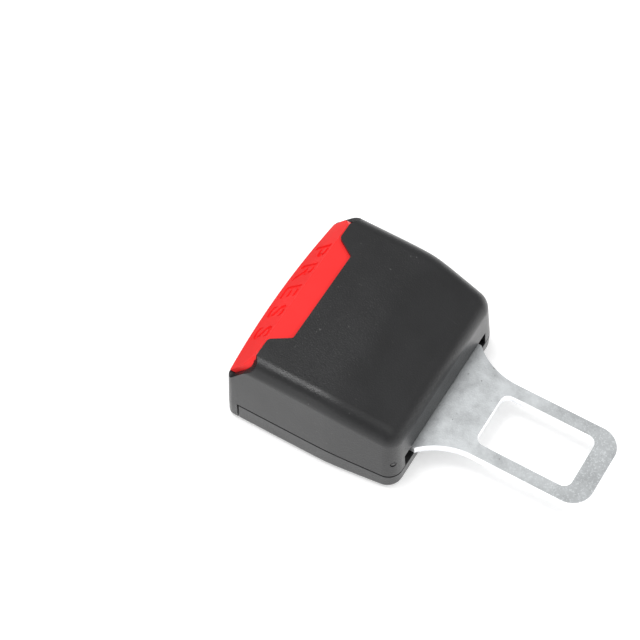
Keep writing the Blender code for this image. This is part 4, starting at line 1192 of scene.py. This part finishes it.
def grow(name, tree, values):
    """Run a geometry tree with its values on an empty mesh, and keep the plain mesh."""
    item = add_object(name, bpy.data.meshes.new(name))
    change = item.modifiers.new(name, "NODES")
    change.node_group = tree
    for socket in tree.interface.items_tree:
        if socket.in_out == "INPUT":
            change[socket.identifier] = values[socket.name]
    apply_modifiers(item)
    return item


class EXTENDER_OT_housing(bpy.types.Operator):
    """Make the upper shell and the lower cover"""
    bl_idname = "extender.housing"
    bl_label = "Housing"

    def execute(self, context):
        settings = context.scene.extender_housing
        plastic = plastic_material("black_plastic_fine", settings.plastic, settings.roughness,
                                   settings.grain, settings.dust, gloss=settings.gloss)
        finish_piece(make_shell(settings), "shell_skin", plastic, "housing", "black_plastic", "upper_shell")
        finish_piece(make_cover(settings), "cover_skin", plastic, "housing", "black_plastic", "lower_cover")
        return {"FINISHED"}


class EXTENDER_OT_button(bpy.types.Operator):
    """Make the press button with its word"""
    bl_idname = "extender.button"
    bl_label = "Press button"

    def execute(self, context):
        settings = context.scene.extender_button
        plastic = plastic_material("red_plastic_fine", settings.red, settings.roughness, BUTTON_GRAIN,
                                   0.0, SLIGHT, settings.gloss)
        finish_piece(make_button(settings), "button_skin", plastic, "button", "red_plastic", "press_button")
        return {"FINISHED"}


class EXTENDER_OT_tongue(bpy.types.Operator):
    """Make the tongue plate"""
    bl_idname = "extender.tongue"
    bl_label = "Tongue plate"

    def execute(self, context):
        settings = context.scene.extender_tongue
        steel = steel_material("zinc_steel_fine", settings.zinc, settings.roughness, settings.mottle,
                               tip=True)
        finish_piece(make_tongue(settings), "tongue_skin", steel, "housing", "zinc_steel", "tongue_plate")
        return {"FINISHED"}


class EXTENDER_OT_springs(bpy.types.Operator):
    """Make the compression springs of the button and of the ejector"""
    bl_idname = "extender.springs"
    bl_label = "Springs"

    def execute(self, context):
        settings = context.scene.extender_inside
        steel = bare_steel("spring_steel", settings.steel)
        tree = spring_tree()
        for node, wire, joint, travel in SPRINGS:
            low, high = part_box(node)
            middle = (low + high) / 2
            length = high.x - low.x
            item = grow(node + "_fine", tree, {
                "Start": (low.x, middle.y, middle.z), "Length": length,
                "Coil radius": (high.z - low.z) / 2 - wire, "Wire radius": wire,
                "Turns": float(settings.turns), "Closed turns": CLOSED_TURNS,
                "Points": settings.turns * settings.wire_points + 1, "Material": steel})
            shade(item, SPRING_SHARP)
            finish_piece(item, node + "_wire", steel, "housing", "spring_steel", node)
            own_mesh(item)
        return {"FINISHED"}


class EXTENDER_OT_rivets(bpy.types.Operator):
    """Make the four rivets of the frame"""
    bl_idname = "extender.rivets"
    bl_label = "Rivets"

    def execute(self, context):
        settings = context.scene.extender_inside
        steel = bare_steel("rivet_steel", settings.steel)
        nodes = [f"rivet_{number}" for number in range(1, 5)]
        boxes = [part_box(node) for node in nodes]
        middles = [(low + high) / 2 for low, high in boxes]
        low, high = boxes[0]
        spread = [max(m[i] for m in middles) - min(m[i] for m in middles) for i in (0, 1)]
        item = grow("rivets_fine", rivet_tree(), {
            "Middle": sum(middles, Vector()) / 4, "Spread X": spread[0], "Spread Y": spread[1],
            "Height": high.z - low.z, "Shank radius": RIVET_RADIUS, "Head radius": (high.x - low.x) / 2,
            "Head height": RIVET_HEAD_HEIGHT, "Material": steel})
        shade(item, RIVET_SHARP)
        finish_piece(item, "rivet_set", steel, "housing", "zinc_steel", *nodes)
        return {"FINISHED"}


class EXTENDER_OT_inside(bpy.types.Operator):
    """Finish the frame, the latch, the pins and the ejector"""
    bl_idname = "extender.inside"
    bl_label = "Inside"

    def execute(self, context):
        settings = context.scene.extender_inside
        steel = bare_steel("bright_steel", settings.steel)
        for node in ("buckle_frame", "latch_plate", "latch_pin", "release_bar", "latch_spring"):
            paint(node, steel)
        white = plastic_material("ejector_plastic", settings.ejector, 0.45, EJECTOR_GRAIN, 0.0, SLIGHT)
        paint("ejector", white)
        return {"FINISHED"}


def add_lamp(name, position, size, energy):
    """A soft rectangular lamp that points at the origin."""
    lamp = bpy.data.lights.new(name, "AREA")
    lamp.shape = "RECTANGLE"
    lamp.size, lamp.size_y = size
    lamp.energy = energy
    item = bpy.data.objects.new(name, lamp)
    item.location = position
    item.rotation_euler = (-Vector(position)).to_track_quat("-Z", "Y").to_euler()
    bpy.context.scene.collection.objects.link(item)


def floor_material(brightness):
    """A plain pale floor that shows white and keeps the shadow.

    In reflections it is dark ahead of the button, where the photo has the other extender.
    """
    material, tree, shader, place = new_material("pale_floor")
    shader.inputs["Roughness"].default_value = 0.9
    shader.inputs["Specular IOR Level"].default_value = 0.1
    path = tree.nodes.new("ShaderNodeLightPath").outputs
    spot = add_node(tree, "ShaderNodeSeparateXYZ", Vector=place).outputs
    ahead = ramp(tree, spot["X"], X_FRONT - DARK_AHEAD[0], X_FRONT - DARK_AHEAD[1], 1.0, 0.0)
    beside = ramp(tree, calc(tree, "ABSOLUTE", spot["Y"]), *DARK_SIDES, 1.0, 0.0)
    dark = calc(tree, "MULTIPLY", calc(tree, "MULTIPLY", ahead, beside), path["Is Glossy Ray"])
    pale = (brightness, brightness, brightness, 1.0)
    connect(tree, shader.inputs["Base Color"], blend(tree, dark, pale, DARK_FLOOR))
    mirrored_light = calc(tree, "SUBTRACT", path["Is Glossy Ray"], dark, True)
    lit = calc(tree, "ADD", calc(tree, "MULTIPLY", path["Is Camera Ray"], FLOOR_GLOW),
               calc(tree, "MULTIPLY", mirrored_light, MIRRORED_GLOW))
    shader.inputs["Emission Color"].default_value = WHITE
    connect(tree, shader.inputs["Emission Strength"], lit)
    return material


def make_floor(brightness):
    """A wide plain floor just below the housing."""
    shape = bmesh.new()
    bmesh.ops.create_grid(shape, x_segments=1, y_segments=1, size=FLOOR_HALF)
    floor = add_object("floor", mesh_from("floor", shape), floor_material(brightness))
    floor.data.transform(Matrix.Translation((0.0, 0.0, -FLOOR_DROP)))


def make_world(level):
    """Even surroundings: white to the camera, and plain for the light on the object."""
    world = bpy.data.worlds.new("surroundings")
    world.use_nodes = True
    tree = world.node_tree
    back = tree.nodes["Background"]
    back.inputs["Color"].default_value = WHITE
    path = tree.nodes.new("ShaderNodeLightPath").outputs
    connect(tree, back.inputs["Strength"], calc(tree, "MAXIMUM", path["Is Camera Ray"], level))
    bpy.context.scene.world = world


def make_camera(lens):
    """The camera at the photo's angle."""
    data = bpy.data.cameras.new("camera")
    data.lens = lens
    data.sensor_width = SENSOR
    data.clip_start = 0.01
    data.clip_end = 50.0
    camera = bpy.data.objects.new("camera", data)
    back = Vector(CAMERA_BACK).normalized()
    up = back.cross(Vector(CAMERA_RIGHT)).normalized()
    right = up.cross(back).normalized()
    turn = Matrix((right, up, back)).transposed().to_4x4()
    camera.matrix_world = Matrix.Translation(CAMERA_PLACE) @ turn
    bpy.context.scene.collection.objects.link(camera)
    bpy.context.scene.camera = camera


class EXTENDER_OT_stage(bpy.types.Operator):
    """Make the floor, the lamps and the camera"""
    bl_idname = "extender.stage"
    bl_label = "Stage"

    def execute(self, context):
        settings = context.scene.extender_stage
        make_floor(settings.floor)
        make_world(settings.sky)
        for name, position, size, setting in LAMPS:
            add_lamp(name, position, size, getattr(settings, setting))
        make_camera(settings.lens)
        context.scene.view_settings.view_transform = "Standard"
        return {"FINISHED"}


class EXTENDER_PT_panel(bpy.types.Panel):
    """Lists the settings and the steps that make the extender"""
    bl_idname = "EXTENDER_PT_panel"
    bl_label = "Seat belt extender"
    bl_space_type = "VIEW_3D"
    bl_region_type = "UI"
    bl_category = "Extender"

    def draw(self, context):
        layout = self.layout
        for name, label, kind in GROUPS_OF_SETTINGS:
            column = layout.box()
            column.label(text=label)
            for field in kind.__annotations__:
                column.prop(getattr(context.scene, name), field)
        for step in STEPS:
            layout.operator(step.bl_idname)


GROUPS_OF_SETTINGS = (
    ("extender_housing", "Housing", HousingSettings),
    ("extender_button", "Button", ButtonSettings),
    ("extender_tongue", "Tongue", TongueSettings),
    ("extender_inside", "Inside", InsideSettings),
    ("extender_stage", "Stage", StageSettings),
)
STEPS = (EXTENDER_OT_housing, EXTENDER_OT_button, EXTENDER_OT_tongue, EXTENDER_OT_springs,
         EXTENDER_OT_rivets, EXTENDER_OT_inside, EXTENDER_OT_stage)


def register():
    """Make the settings, the steps and the panel known."""
    for name, _, kind in GROUPS_OF_SETTINGS:
        bpy.utils.register_class(kind)
        setattr(bpy.types.Scene, name, PointerProperty(type=kind))
    for kind in STEPS + (EXTENDER_PT_panel,):
        bpy.utils.register_class(kind)


def unregister():
    """Take the panel, the steps and the settings away again."""
    for kind in reversed(STEPS + (EXTENDER_PT_panel,)):
        bpy.utils.unregister_class(kind)
    for name, _, kind in reversed(GROUPS_OF_SETTINGS):
        delattr(bpy.types.Scene, name)
        bpy.utils.unregister_class(kind)


def main():
    """Register the add-on and run its steps in order."""
    register()
    bpy.ops.extender.housing()
    bpy.ops.extender.button()
    bpy.ops.extender.tongue()
    bpy.ops.extender.springs()
    bpy.ops.extender.rivets()
    bpy.ops.extender.inside()
    bpy.ops.extender.stage()


if __name__ == "__main__":
    main()
